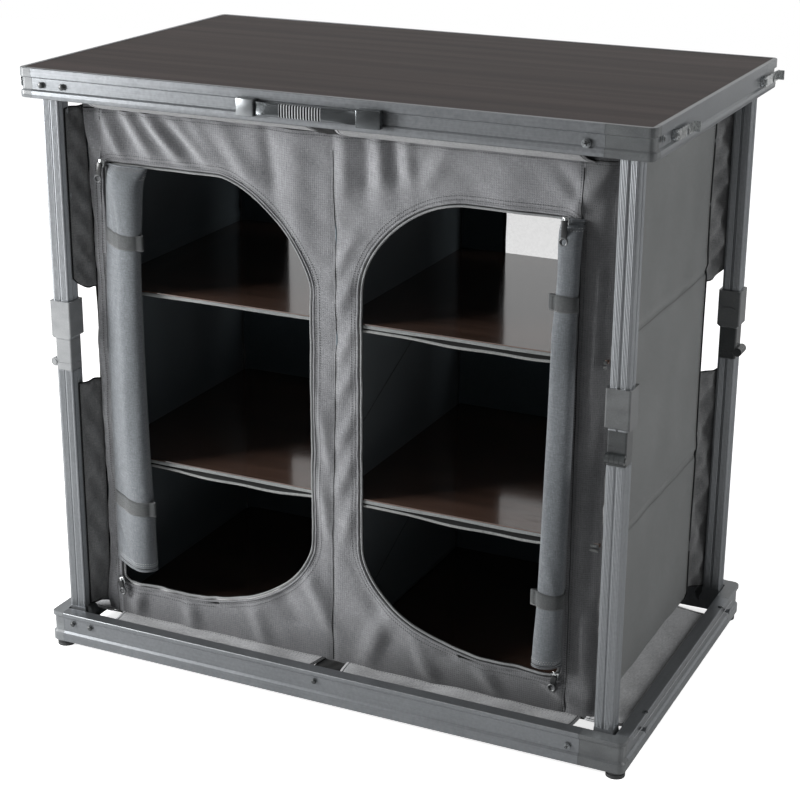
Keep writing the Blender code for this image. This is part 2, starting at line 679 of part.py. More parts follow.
def leg_corner_point(corner):
    # The edge of a leg that is nearest the cabinet, in the cupboard's own frame.
    place = CORNERS[corner]
    near = Vector((LEG_X - LEG_WIDTH / 2 - SOFT_GAP / 2, LEG_Y + LEG_WIDTH / 2 + SOFT_GAP / 2))
    turned = Matrix.Rotation(place.rotation_euler.z, 2) @ near
    return Vector((place.location.x, place.location.y)) + turned


def wing(corner, low, high):
    # A thin web of cloth from a cabinet edge to the nearest edge of a leg.
    outer = leg_corner_point(corner)
    sx, sy = math.copysign(1, outer.x), math.copysign(1, outer.y)
    inner = Vector((sx * (side_x - BODY_CORNER / 2), sy * (back_y - BODY_CORNER / 2)))
    run = (outer - inner).normalized()
    outer = outer - run * WING_THICKNESS / 2
    across = Vector((-run.y, run.x)) * WING_THICKNESS / 2
    outline = [inner - across, outer - across, outer + across, inner + across]
    return prism([tuple(point) for point in outline], low, high)


def flap(inner_y, outer_y, x_low, x_high, along_x):
    # A strip of cloth from the cabinet's bottom edge out to a base rail.
    reach = abs(outer_y - inner_y)
    outline = [(x_low, inner_y), (x_high, inner_y), (x_high - reach / 4, outer_y),
               (x_low + reach / 4, outer_y)]
    if not along_x:
        outline = [(y, x) for x, y in outline]
    low = BODY_BOTTOM + (FABRIC - FLAP_THICKNESS) / 2 + FIT / 2
    return prism(outline, low, low + FLAP_THICKNESS)


def make_shell():
    inside_x, inside_y = side_x - FABRIC, back_y - FABRIC
    curve = BODY_CORNER - FABRIC
    outer = [(-side_x, -back_y), *reversed(arc((-side_x + BODY_CORNER, back_y - BODY_CORNER),
                                               BODY_CORNER, 90, 180, 5)),
             *reversed(arc((side_x - BODY_CORNER, back_y - BODY_CORNER), BODY_CORNER, 0, 90, 5)),
             (side_x, -back_y)]
    inner = [(inside_x, -back_y),
             *arc((inside_x - curve, inside_y - curve), curve, 0, 90, 5),
             *arc((-inside_x + curve, inside_y - curve), curve, 90, 180, 5), (-inside_x, -back_y)]
    walls = prism(outer + inner, BODY_BOTTOM, CABINET_TOP)
    bottom = block((-inside_x - FABRIC / 2, -back_y + FIT, BODY_BOTTOM + FIT),
                   (inside_x + FABRIC / 2, inside_y + FABRIC / 2, BODY_BOTTOM + FABRIC))
    joined = [bottom]
    for corner in ("lb", "rb"):
        joined.append(wing(corner, WING_BOTTOM, WING_LOWER_HEAD))
        joined.append(wing(corner, WING_UPPER_FOOT, WING_TOP))
    rail_x, rail_y = WIDTH / 2 - RAIL_WIDTH - SOFT_GAP, DEPTH / 2 - RAIL_WIDTH - SOFT_GAP
    end_x, end_y = side_x - FLAP_END_INSET, back_y - FLAP_END_INSET
    split = FLAP_SPLIT / 2
    hem = FABRIC / 2
    for sign in (-1, 1):
        joined.append(flap(sign * (side_x - hem), sign * rail_x, -end_y, end_y, False))
        joined.append(flap(sign * (back_y - hem), sign * rail_y, -end_x, -split, True))
        joined.append(flap(sign * (back_y - hem), sign * rail_y, split, end_x, True))
    windows = [prism(rounded_box_outline(min(x), max(x), WINDOW_BOTTOM, WINDOW_TOP,
                                         [WINDOW_CORNER] * 4), back_y - BODY_CORNER,
                     back_y + OVERRUN, ALONG_Y)
               for x in ((-WINDOW_OUTER, -WINDOW_INNER), (WINDOW_INNER, WINDOW_OUTER))]
    return solid("cabinet_shell", walls, joined, windows)


def door_hole(sign):
    # Straight at the zip side, with big round corners towards the middle of the front.
    x_low, x_high = sorted((sign * DOOR_INNER, sign * DOOR_OUTER))
    inner_first = [DOOR_ARC, DOOR_CORNER, DOOR_CORNER, DOOR_ARC]
    radii = inner_first if sign > 0 else [DOOR_CORNER, DOOR_ARC, DOOR_ARC, DOOR_CORNER]
    return rounded_box_outline(x_low, x_high, DOOR_BOTTOM, DOOR_TOP, radii, 8)


def make_front():
    outline = rounded_box_outline(-side_x, side_x, floor_low, CABINET_TOP, [FABRIC] * 4, 2)
    sheet = prism(outline, PANEL_FRONT, PANEL_BACK, ALONG_Y, [door_hole(-1), door_hole(1)])
    joined = []
    for corner in ("lf", "rf"):
        outer = leg_corner_point(corner)
        sx = math.copysign(1, outer.x)
        inner = Vector((sx * (side_x - FABRIC), PANEL_BACK - PANEL_THICKNESS / 2))
        run = (outer - inner).normalized()
        across = Vector((-run.y, run.x)) * WING_THICKNESS / 2
        tip = outer - run * WING_THICKNESS / 2
        plan = [tuple(point) for point in (inner - across, tip - across, tip + across, inner + across)]
        joined.append(prism(plan, WING_BOTTOM, WING_LOWER_HEAD))
        joined.append(prism(plan, WING_UPPER_FOOT, WING_TOP))
    return solid("front_panel", sheet, joined)


piece("cabinet_shell", make_shell(), "fabric", whole)
piece("front_panel", make_front(), "fabric", whole)

divider_half = FABRIC / 2
divider_mesh = solid("divider", block((-divider_half, -back_y + FIT, floor_low),
                                      (divider_half, back_y - FABRIC - FIT, CABINET_TOP)))
piece("divider", divider_mesh, "lining", whole)

# Two boards lie on the cabinet's bottom, and four shelves hang between its walls.
board_back = back_y - FABRIC - BOARD_MARGIN
board_tops = (floor_low + PANEL_BOARD, *(share * TABLE_HEIGHT for share in SHELF_TOP_SHARES))
for kind, top in zip(("floor_board", "lower_shelf", "upper_shelf"), board_tops):
    for side, sign in (("left", -1), ("right", 1)):
        x_low, x_high = sorted((sign * (divider_half + FIT), sign * (side_x - FABRIC - FIT)))
        back_radii = [BODY_CORNER, BOARD_EDGE] if sign > 0 else [BOARD_EDGE, BODY_CORNER]
        outline = rounded_box_outline(x_low, x_high, -back_y + FIT, board_back,
                                      [BOARD_EDGE, BOARD_EDGE, *back_radii])
        mesh = solid(f"{kind}_{side}", prism(outline, top - PANEL_BOARD, top))
        piece(f"{kind}_{side}", mesh, "board", whole)


# Rolled doors: one strip of cloth wound about an upright core. Its tail lies flat on the front
# panel, where it is sewn on along the outer edge of the door's opening.

def roll_faces(sign):
    # The outer and the inner face of the strip, from the core outwards.
    steps = round(ROLL_TURNS * ROLL_POINTS_A_TURN)
    tail = ROLL_INSET + ROLL_HEM

    def face(offset):
        points = []
        for step in range(steps + 1):
            turned = math.tau * ROLL_TURNS * step / steps
            radius = ROLL_CORE + ROLL_STEP * turned / math.tau + offset
            angle = math.pi / 2 - math.tau * ROLL_TURNS + turned
            points.append((-sign * radius * math.cos(angle), radius * math.sin(angle)))
        return [*points, (sign * tail, points[-1][1])]

    return face(ROLL_SHEET / 2), face(-ROLL_SHEET / 2)


def least_roll_gap(outer_face, inner_face):
    # Between the outer face of each turn and the inner face of the next.
    return min(math.dist(here, there) for place, here in enumerate(outer_face)
               for there in inner_face[place + ROLL_POINTS_A_TURN // 2:])


def make_roll(sign):
    outer_face, inner_face = roll_faces(sign)
    print(f"rolled door: least gap between turns {least_roll_gap(outer_face, inner_face) * 1000:.2f} mm")
    centre_y = PANEL_FRONT - FIT - ROLL_CORE - ROLL_STEP * ROLL_TURNS - ROLL_SHEET / 2
    centre_x = sign * (DOOR_OUTER - ROLL_INSET)
    outline = [(centre_x + x, centre_y + y) for x, y in outer_face + inner_face[::-1]]
    return solid("door_roll", prism(outline, DOOR_BOTTOM + ROLL_END_GAP, DOOR_TOP - ROLL_END_GAP))


for side, sign in (("left", -1), ("right", 1)):
    piece(f"door_roll_{side}", make_roll(sign), "door", whole)

bpy.data.collections.remove(tools)
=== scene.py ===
import math
import random

import bmesh
import bpy
import numpy as np
from mathutils import Matrix, Vector


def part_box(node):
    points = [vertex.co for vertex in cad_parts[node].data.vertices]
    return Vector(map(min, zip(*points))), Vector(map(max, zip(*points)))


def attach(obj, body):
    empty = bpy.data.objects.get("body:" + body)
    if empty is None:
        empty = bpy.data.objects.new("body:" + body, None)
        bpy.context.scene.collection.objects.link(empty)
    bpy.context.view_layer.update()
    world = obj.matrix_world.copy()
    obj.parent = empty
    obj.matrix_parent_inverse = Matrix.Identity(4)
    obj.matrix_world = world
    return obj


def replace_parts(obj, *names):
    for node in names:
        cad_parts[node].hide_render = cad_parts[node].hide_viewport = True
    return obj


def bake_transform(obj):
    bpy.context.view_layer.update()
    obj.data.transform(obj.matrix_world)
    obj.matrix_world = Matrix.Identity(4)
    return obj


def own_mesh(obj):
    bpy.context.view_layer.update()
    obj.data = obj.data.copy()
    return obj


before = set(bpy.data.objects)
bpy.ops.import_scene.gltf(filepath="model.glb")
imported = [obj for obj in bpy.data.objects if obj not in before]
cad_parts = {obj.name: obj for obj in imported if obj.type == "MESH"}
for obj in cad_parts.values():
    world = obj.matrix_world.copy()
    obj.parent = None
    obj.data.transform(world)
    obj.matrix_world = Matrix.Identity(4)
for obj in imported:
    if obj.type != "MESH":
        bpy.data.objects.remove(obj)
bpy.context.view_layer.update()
scene = bpy.context.scene
print("frame loaded")

# Camera, solved from the frame's corners in the photograph.
cameraData = bpy.data.cameras.new("camera")
cameraData.lens = 85.19
cameraData.clip_start = 0.1
camera = bpy.data.objects.new("camera", cameraData)
camera.location = (1.0578, -2.2496, 1.2538)
camera.rotation_euler = [math.radians(angle) for angle in (70.194, -0.351, 25.354)]
scene.collection.objects.link(camera)
scene.camera = camera
scene.view_settings.view_transform = "Standard"


# Shader tools.

def toLinear(hexCode):
    parts = [int(hexCode[i:i + 2], 16) / 255 for i in (1, 3, 5)]
    return [c / 12.92 if c <= 0.04045 else ((c + 0.055) / 1.055) ** 2.4 for c in parts] + [1.0]


def addNode(tree, kind, *values, named=None, stops=(), out=0, **settings):
    # Adds a node and gives back one output. Values go to its sockets in order or by name, and
    # stops to its colour ramp.
    node = tree.nodes.new("ShaderNode" + kind)
    for name, value in settings.items():
        setattr(node, name, value)
    for socket, value in [*enumerate(values), *(named or {}).items()]:
        if isinstance(value, bpy.types.NodeSocket):
            tree.links.new(value, node.inputs[socket])
        else:
            node.inputs[socket].default_value = value
    if stops:
        elements = node.color_ramp.elements
        while len(elements) < len(stops):
            elements.new(1.0)
        for element, (spot, tone) in zip(elements, stops):
            element.position, element.color = spot, toLinear(tone)
    return node.outputs[out] if node.outputs else None


def newMaterial(name, **fixed):
    # A material with its fixed sockets set, its way to add nodes, and the object's own metres.
    material = bpy.data.materials.new(name)
    material.use_nodes = True
    tree = material.node_tree
    shader = tree.nodes["Principled BSDF"]
    for socket, value in fixed.items():
        shader.inputs[socket.replace("_", " ")].default_value = value

    def add(kind, *values, **settings):
        return addNode(tree, kind, *values, **settings)

    return material, shader, add, add("TexCoord", out="Object")


def dress(material, shader, add, colour, roughness=None, height=None, depth=0.0001):
    links = material.node_tree.links
    links.new(colour, shader.inputs["Base Color"])
    if roughness is not None:
        links.new(roughness, shader.inputs["Roughness"])
    if height is not None:
        bump = add("Bump", named={"Height": height, "Distance": depth})
        links.new(bump, shader.inputs["Normal"])
    return material


def grain(add, place, scale, detail=2.0, roughness=0.5):
    # Noise over the object's metres, with one scale or a scale for each axis.
    scale = scale if isinstance(scale, (tuple, list)) else (scale,) * 3
    mapped = add("Mapping", place, named={"Scale": scale})
    return add("TexNoise", mapped, named={"Scale": 1.0, "Detail": detail, "Roughness": roughness})


def weighed(add, total, *parts):
    # Adds patterns to a total, each times its share.
    for pattern, share in parts:
        total = add("Math", pattern, share, total, operation="MULTIPLY_ADD")
    return total


def wearPrintAndShade(add, share, under, over):
    # One colour laid over another, for wear, print, weave pattern and painted shade.
    return add("Mix", named={0: share, 6: under, 7: toLinear(over)}, data_type="RGBA", out=2)


# Materials.

def coatedAluminium(name, axis, dark, light):
    # Grey-coated extrusion: die lines along its length, a mottled coat and small bright scuffs.
    material, shader, add, place = newMaterial(name, Metallic=0.72)
    stretch = [900.0, 900.0, 900.0]
    stretch[axis] = 3.0
    lines, coat = grain(add, place, stretch, 3.0, 0.6), grain(add, place, 240, 3.0)
    tone = weighed(add, 0.0, (coat, 0.35), (lines, 0.35), (grain(add, place, 9), 0.3))
    colour = add("ValToRGB", tone, stops=[(0.25, dark), (0.75, light)])
    scuff = add("MapRange", grain(add, place, 60, 5.0, 0.7), 0.68, 0.76, 0.0, 0.25)
    return dress(material, shader, add, wearPrintAndShade(add, scuff, colour, "#a9acae"),
                 weighed(add, 0.24, (coat, 0.12), (lines, 0.12)),
                 weighed(add, lines, (coat, 0.6)), 0.000025)


def mouldedPlastic(name, dark, light, rough=0.46, fineness=900.0, metallic=0.0):
    # Moulded plastic: fine spark-eroded grain, faint flow marks and paler handling rub.
    material, shader, add, place = newMaterial(name, Specular_IOR_Level=0.45, Metallic=metallic)
    fine, flow = grain(add, place, fineness), grain(add, place, (24, 24, 60), 3.0)
    rub = add("MapRange", grain(add, place, 110, 4.0, 0.7), 0.6, 0.74)
    colour = add("ValToRGB", weighed(add, 0.0, (flow, 0.6), (fine, 0.4)),
                 stops=[(0.35, dark), (0.65, light)])
    colour = wearPrintAndShade(add, weighed(add, 0.0, (rub, 0.12)), colour, "#9a9c9b")
    return dress(material, shader, add, colour,
                 weighed(add, rough - 0.1, (rub, -0.08), (flow, 0.2)), fine, 0.00005)


def brushedSteel(name, dark, light):
    # Zinc-plated steel: short brushed lines and a clouded bright finish.
    material, shader, add, place = newMaterial(name, Metallic=1.0)
    lines, cloud = grain(add, place, (500, 30, 1400)), grain(add, place, 120, 3.0)
    colour = add("ValToRGB", weighed(add, 0.0, (cloud, 0.5), (lines, 0.5)),
                 stops=[(0.3, dark), (0.7, light)])
    return dress(material, shader, add, colour, weighed(add, 0.14, (cloud, 0.25)), lines, 0.00003)


def woodLaminate(name, dark, mid, light, rough, coat, pores, shine=0.5):
    # Printed laminate: long fibres along the board, darker pores, slow bands and a sealed face.
    material, shader, add, place = newMaterial(name, Coat_Weight=coat, Coat_Roughness=0.08,
                                               Specular_IOR_Level=shine)
    bend = weighed(add, 0.0, (grain(add, place, (1.2, 5.0, 5.0)), 0.03))
    place = add("VectorMath", place, add("CombineXYZ", named={"Y": bend}), operation="ADD")
    fibres = grain(add, place, (5, 620, 620), 4.0, 0.65)
    bands = grain(add, place, (1.4, 42, 42), 3.0)
    pore = add("MapRange", grain(add, place, (26, 1400, 1400)), 0.62, 0.72)
    colour = add("ValToRGB", weighed(add, 0.0, (bands, 0.5), (fibres, 0.5)),
                 stops=[(0.34, dark), (0.5, mid), (0.66, light)])
    colour = wearPrintAndShade(add, weighed(add, 0.0, (pore, pores)), colour, "#1f1817")
    return dress(material, shader, add, colour, weighed(add, rough, (fibres, 0.14)),
                 weighed(add, fibres, (pore, -1.0)), 0.00003)


def wovenCloth(name, dark, mid, light, yarn=0.0009, flat=False, slub=1.0, rough=0.85, sheen=0.25,
               ribs=0.0, paintedBottomShade=0.0):
    # Woven polyester: crossing yarns, heathered slubs both ways, cloudy dye and a dusty sheen. The
    # yarns are drawn a little coarser than real ones so that they show.
    material, shader, add, place = newMaterial(name, Sheen_Weight=sheen, Sheen_Roughness=0.5,
                                               Specular_IOR_Level=0.25, Roughness=rough)
    x, y, z = add("SeparateXYZ", place).node.outputs
    across, up = (x, y) if flat else (add("Math", x, y, operation="ADD"), z)

    def crossing(length, operation):
        waves = [add("Math", add("Math", way, math.tau / length, operation="MULTIPLY"),
                     operation="SINE") for way in (across, up)]
        return add("Math", *waves, operation=operation)

    weave = weighed(add, 0.5, (crossing(2 * yarn, "MULTIPLY"), 0.5))
    sheet = add("CombineXYZ", across, up)
    slubs = [grain(add, sheet, scale, 3.0, 0.6) for scale in ((1000, 85, 1), (85, 1000, 1))]
    tone = weighed(add, 0.0, *((yarns, 0.36 * slub) for yarns in slubs),
                   (grain(add, sheet, (380, 380, 1), 2.0, 0.7), 0.3 * slub),
                   (grain(add, place, 7, 3.0), 0.25), (weave, 0.12))
    middle = 0.5 * (1.02 * slub + 0.37)
    colour = add("ValToRGB", tone,
                 stops=[(middle - 0.16, dark), (middle, mid), (middle + 0.16, light)])
    height = weighed(add, weave, *((yarns, 0.7) for yarns in slubs))
    if ribs:
        # A stronger yarn every few millimetres, as in ripstop.
        cross = crossing(ribs, "MAXIMUM")
        height = weighed(add, height, (add("MapRange", cross, 0.5, 1.0), 0.8))
        colour = wearPrintAndShade(add, add("MapRange", cross, 0.6, 1.0, 0.0, 0.30), colour, light)
    if paintedBottomShade:
        # Painted shade: the cloth darkens towards its bottom edge, and more towards its right side.
        grey = weighed(add, paintedBottomShade, (add("MapRange", x, -0.02, 0.16), 0.4))
        share = add("Math", add("MapRange", z, 0.125, 0.043), grey, operation="MULTIPLY")
        colour = wearPrintAndShade(add, share, colour, "#1c1d1e")
    return dress(material, shader, add, colour, None, height, 0.00035)


def clearFilm(name):
    # Clear vinyl over a fine net: mostly see-through, with faint threads and a soft shine.
    material, shader, add, place = newMaterial(name, Roughness=0.25)
    net = grain(add, place, 260, 1.0)
    material.node_tree.links.new(weighed(add, 0.38, (net, 0.06)), shader.inputs["Alpha"])
    colour = add("ValToRGB", net, stops=[(0.35, "#909292"), (0.65, "#a6a8a8")])
    return dress(material, shader, add, colour, None, net, 0.00005)


railX = coatedAluminium("coatedAluminiumAlongX", 0, "#64676a", "#838689")
railY = coatedAluminium("coatedAluminiumAlongY", 1, "#686b6e", "#888b8e")
tubeZ = coatedAluminium("coatedAluminiumAlongZ", 2, "#6c6f72", "#8b8e91")
# A paler copy for the left front upper tube and its ribs: painted light.
paintedLitTube = coatedAluminium("paleAluminiumAlongZ", 2, "#83868a", "#a6a9ac")
# Pale metal for the base rails' edge beads: a painted highlight.
highlightBeadMetal = coatedAluminium("wornAluminium", 0, "#7c7f81", "#9a9d9f")
cornerPlastic = mouldedPlastic("cornerPlastic", "#5c5f61", "#777a7c", 0.34)
# A darker copy for the right front corners: painted shade.
paintedShadeCorner = mouldedPlastic("darkCornerPlastic", "#4a4c4e", "#5f6263", 0.34)
kneePlastic = mouldedPlastic("kneePlastic", "#2a2c2d", "#3c3f40", 0.3)
collarPlastic = mouldedPlastic("collarPlastic", "#4f5152", "#606263", 0.34)
# A paler copy for the left front collar and knee: painted light.
paintedLitCollar = mouldedPlastic("paleCollarPlastic", "#707274", "#828485", 0.34)
# A paler handle plastic for the left cap: painted highlight.
paintedLitCapPlastic = mouldedPlastic("handleCapPlastic", "#6d7072", "#76797b", 0.30, 2500.0, 0.75)
strapPlastic = mouldedPlastic("handleStrapPlastic", "#4d5052", "#5a5d5f", 0.22, 2500.0, 0.8)
# A pale copy of black plastic for the handle's rib tops: painted highlight.
paintedLitRibPlastic = mouldedPlastic("handleRibPlastic", "#8a8d8f", "#a3a6a8", 0.3)
hubPlastic = mouldedPlastic("blackHubPlastic", "#0f1011", "#1d1f20", 0.35)
rivetPlastic = mouldedPlastic("rivetPlastic", "#2c2e2f", "#424546", 0.3)
footRubber = mouldedPlastic("footRubber", "#2b2c2d", "#3d3f40", 0.7, 500.0)
thread = mouldedPlastic("stitchThread", "#2e2f2f", "#4a4b4b", 0.7)
paleThread = mouldedPlastic("paleThread", "#8f9190", "#b4b6b5", 0.7)
steel = brushedSteel("brightSteel", "#a9adae", "#e3e5e5")
screwSteel = brushedSteel("screwSteel", "#6f7375", "#989c9e")
tableWood = woodLaminate("tableLaminate", "#2a2221", "#3a302e", "#4b403e", 0.46, 0.0, 0.35, 0.16)
shelfWood = woodLaminate("shelfLaminate", "#33261f", "#46352d", "#5c473d", 0.06, 0.75, 0.4)
# The front cloth carries painted shade towards its bottom edge.
frontCloth = wovenCloth("frontCloth", "#525356", "#6f7073", "#8f9092", 0.0011, slub=0.75,
                        ribs=0.0029, paintedBottomShade=0.42)
# A paler copy of the front cloth for the strip beyond the left seam: painted light where the leg
# shades it.
leftCornerCloth = wovenCloth("leftCornerCloth", "#66676a", "#88898c", "#abacae", 0.0011, slub=0.7)
# A darker copy of the front cloth for the strip beyond the right seam: painted shade where the cloth
# turns back towards the leg.
paintedShadeCornerCloth = wovenCloth("cornerStripCloth", "#3f4042", "#58595b", "#737476", 0.0011, slub=0.7,
                         ribs=0.0029)
boardCloth = wovenCloth("sidePanelCloth", "#535555", "#646666", "#777979", 0.0008, slub=0.8)
wingCloth = wovenCloth("wingCloth", "#535455", "#676869", "#7f8081")
rollCloth = wovenCloth("doorRollCloth", "#484c4f", "#5b5f63", "#74787c", 0.0008, slub=0.9)
loopCloth = wovenCloth("loopCloth", "#323536", "#404243", "#505354", 0.0008, slub=0.7)
bandCloth = wovenCloth("edgeBandCloth", "#5f6262", "#767979", "#8e9190", 0.0007, slub=0.6)
hemCloth = wovenCloth("hemCloth", "#626463", "#7a7c7b", "#949695", 0.0008, slub=0.8)
edgeCord = wovenCloth("edgeCordCloth", "#626465", "#7d7f80", "#989a9b", 0.0006, slub=0.5)
# The flaps' cloth is paler than the front cloth: painted light on their upward faces, most on the
# side flaps.
flapCloth = wovenCloth("flapCloth", "#6e6f71", "#8f9092", "#b0b1b2", 0.0010, flat=True)
sideFlapCloth = wovenCloth("sideFlapCloth", "#808183", "#a5a6a8", "#c9cacb", 0.0014, flat=True)
floorLining = wovenCloth("bottomCloth", "#1a1b1c", "#27292a", "#353738", flat=True)
lining = wovenCloth("blackLining", "#3b4448", "#49545a", "#59656b", 0.0008, slub=0.6, rough=0.6)
# A darker copy of the lining for the divider's creases: painted shade.
creaseCloth = wovenCloth("creaseCloth", "#24282a", "#2e3336", "#3a4043", 0.0008, slub=0.5,
                         rough=0.5)
webbing = wovenCloth("blackWebbing", "#080909", "#101111", "#1b1c1c", 0.0014, slub=0.7, sheen=0.05)
windowFilm = clearFilm("windowFilm")

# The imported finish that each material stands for. The other cloths and the threads are grey fabric.
slots = {
    "black_lining": [lining, creaseCloth, webbing], "bright_steel": [steel, screwSteel],
    "black_plastic": [hubPlastic, kneePlastic, rivetPlastic, paintedLitRibPlastic],
    "grey_plastic": [collarPlastic, paintedLitCapPlastic, strapPlastic],
    "coated_aluminium": [tubeZ, paintedLitTube, highlightBeadMetal]}
slotOf = {material.name: slot for slot, materials in slots.items() for material in materials}
print("materials made")


# Shape tools.

def meshObject(name, bm, materials, smooth=45):
    # The finished object from the working mesh.
    mesh = bpy.data.meshes.new(name)
    bm.to_mesh(mesh)
    bm.free()
    for material in materials:
        mesh.materials.append(material)
    mesh.shade_smooth()
    mesh.set_sharp_from_angle(angle=math.radians(smooth))
    obj = bpy.data.objects.new(name, mesh)
    scene.collection.objects.link(obj)
    return obj


def place(name, bm, materials, body, smooth=45):
    # Puts a piece on its body.
    materials = materials if isinstance(materials, list) else [materials]
    obj = meshObject(name, bm, materials, smooth)
    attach(obj, body)
    slotOf.get(materials[0].name, "grey_fabric")
    return obj


def asSheet(obj, cut, held="stretched", area=None, thick=None, offset=0.0, lined=False):
    if thick:
        solid = obj.modifiers.new("thickness", "SOLIDIFY")
        solid.thickness = thick
        solid.offset = offset
        if lined:
            # Each cloth's lining stands behind it in the list of materials.
            solid.material_offset = 1
            solid.material_offset_rim = 0


def sew(name, bm, materials, cut=None, replaced=None, **sheet):
    # Cloth of the cabinet, put on the base frame.
    obj = place(name, bm, materials, "base")
    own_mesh(obj)
    if cut:
        asSheet(obj, cut, **sheet)
    if replaced:
        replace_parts(obj, replaced)
    return obj


def grid(columns, rows, at):
    # A grid whose points come from at(u, v), both running from 0 to 1.
    bm = bmesh.new()
    bmesh.ops.create_grid(bm, x_segments=columns, y_segments=rows, size=0.5)
    for vert in bm.verts:
        vert.co = at(vert.co.x + 0.5, vert.co.y + 0.5)
    return bm


def facing(bm, direction):
    bm.normal_update()
    if sum(face.normal.dot(direction) * face.calc_area() for face in bm.faces) < 0:
        bmesh.ops.reverse_faces(bm, faces=bm.faces)
    return bm


def addTube(bm, points, radius, closed=False, resolution=1):
    # A round cord along the points, drawn as a curve and taken over as a mesh.
    curve = bpy.data.curves.new("path", "CURVE")
    curve.dimensions = "3D"
    curve.bevel_depth = radius
    curve.bevel_resolution = resolution
    curve.use_fill_caps = True
    spline = curve.splines.new("POLY")
    spline.points.add(len(points) - 1)
    for point, co in zip(spline.points, points):
        point.co = (*co, 1.0)
    spline.use_cyclic_u = closed
    drawn = bpy.data.objects.new("path", curve)
    mesh = bpy.data.meshes.new_from_object(drawn)
    bm.from_mesh(mesh)
    bpy.data.objects.remove(drawn)
    bpy.data.meshes.remove(mesh)


def sewCords(name, material, *cords, closed=False, resolution=2):
    # Cords on the cabinet, each as (points, radius).
    bm = bmesh.new()
    for points, radius in cords:
        addTube(bm, points, radius, closed, resolution)
    sew(name, bm, material)


def lathe(bm, profile, centre, axis, steps=16):
    # Spins (radius, height) points about an axis through the centre.
    spot = Matrix.Translation(centre) @ Vector(axis).to_track_quat("Z", "Y").to_matrix().to_4x4()
    verts = [bm.verts.new(spot @ Vector((radius, 0, height))) for radius, height in profile]
    edges = [bm.edges.new(pair) for pair in zip(verts, verts[1:])]
    bmesh.ops.spin(bm, geom=verts + edges, cent=centre, axis=axis, angle=math.tau, steps=steps,
                   use_merge=True)
    bmesh.ops.remove_doubles(bm, verts=bm.verts, dist=1e-6)


def addBox(bm, low, high, bevel, segments=2):
    low, high = Vector(low), Vector(high)
    made = bmesh.ops.create_cube(bm, size=1.0)
    bmesh.ops.scale(bm, vec=high - low, verts=made["verts"])
    bmesh.ops.translate(bm, vec=(high + low) / 2, verts=made["verts"])
    edges = list({edge for vert in made["verts"] for edge in vert.link_edges})
    bmesh.ops.bevel(bm, geom=edges, offset=bevel, segments=segments, profile=0.5, affect="EDGES",
                    material=-1)


def roundedPath(opening, grow=0.0, step=0.005):
    # Closed outline of (x, z, outward x, outward z), anticlockwise from the lower left corner. A
    # corner is (reach in x, reach in z, fullness): 2 is an ellipse, and less nears a straight cut.
    x0, x1 = opening["x0"] - grow, opening["x1"] + grow
    z0, z1 = opening["z0"] - grow, opening["z1"] + grow
    path, parts = [], 120
    corners = ((x0, z0, 1, 1), (x1, z0, -1, 1), (x1, z1, -1, -1), (x0, z1, 1, -1))
    for index, ((x, z, sx, sz), (wide, tall, full)) in enumerate(zip(corners, opening["radii"])):
        wide, tall = wide + grow, tall + grow
        for i in range(parts + 1):
            # Just short of both ends, where the way out would be a division by zero.
            turned = min(max(i / parts, 0.0001), 0.9999)
            angle = math.radians(180 + 90 * index) + math.pi / 2 * turned
            c, s = abs(math.cos(angle)), abs(math.sin(angle))
            spot = (x + sx * wide - sx * wide * c ** (2 / full),
                    z + sz * tall - sz * tall * s ** (2 / full))
            out = Vector((-sx * c ** (2 - 2 / full) / wide,
                          -sz * s ** (2 - 2 / full) / tall)).normalized()
            if i in (0, parts) or math.dist(spot, path[-1][:2]) >= step * 0.9:
                path.append((*spot, *out))
    filled = []
    for here, there in zip(path, path[1:] + path[:1]):
        filled.append(here)
        count = max(1, round(math.dist(here[:2], there[:2]) / step))
        for i in range(1, count):
            share = i / count
            filled.append((here[0] + (there[0] - here[0]) * share,
                           here[1] + (there[1] - here[1]) * share, here[2], here[3]))
    return filled


def walk(points, step, closed=False):
    # Even places along a line of points: (place, direction).
    line = [Vector(point) for point in points]
    if closed:
        line.append(line[0].copy())
    wanted, walked = step / 2, 0.0
    for here, there in zip(line, line[1:]):
        run = (there - here).length
        while walked + run >= wanted and run > 0:
            yield here.lerp(there, (wanted - walked) / run), (there - here).normalized()
            wanted += step
        walked += run


def addCopies(bm, stamp, matrices):
    # Copies of a small mesh, one at each matrix.
    stamp.verts.index_update()
    points = np.array([(*vert.co, 1.0) for vert in stamp.verts])
    faces = [[vert.index for vert in face.verts] for face in stamp.faces]
    coords = np.concatenate([(points @ np.array(matrix).T)[:, :3] for matrix in matrices])
    mesh = bpy.data.meshes.new("copies")
    mesh.from_pydata(coords, [], [[index + len(points) * copy for index in face]
                                  for copy in range(len(matrices)) for face in faces])
    bm.from_mesh(mesh)
    bpy.data.meshes.remove(mesh)
    stamp.free()


def addStitches(bm, points, out, closed=False, pitch=0.0034, length=0.0024, radius=0.00042):
    # A row of thread lozenges, half sunk into the cloth.
    stamp = bmesh.new()
    bmesh.ops.create_uvsphere(stamp, u_segments=6, v_segments=3, radius=1.0)
    spots = []
    for spot, ahead in walk(points, pitch, closed):
        side = out.cross(ahead).normalized()
        turn = Matrix((ahead, side, out)).transposed().to_4x4()
        turn.translation = spot
        spots.append(turn @ Matrix.Diagonal((length / 2, radius, radius, 1)))
    addCopies(bm, stamp, spots)


def sewStitches(name, rows, out, closed=False, **sizes):
    bm = bmesh.new()
    for points in rows:
        addStitches(bm, points, out, closed, **sizes)
    sew(name, bm, thread)


def onTable(table, place):
    # The value of a table of (place, value) at a place.
    return float(np.interp(place, *zip(*table)))


toFront, toBack, upwards = Vector((0, -1, 0)), Vector((0, 1, 0)), Vector((0, 0, 1))

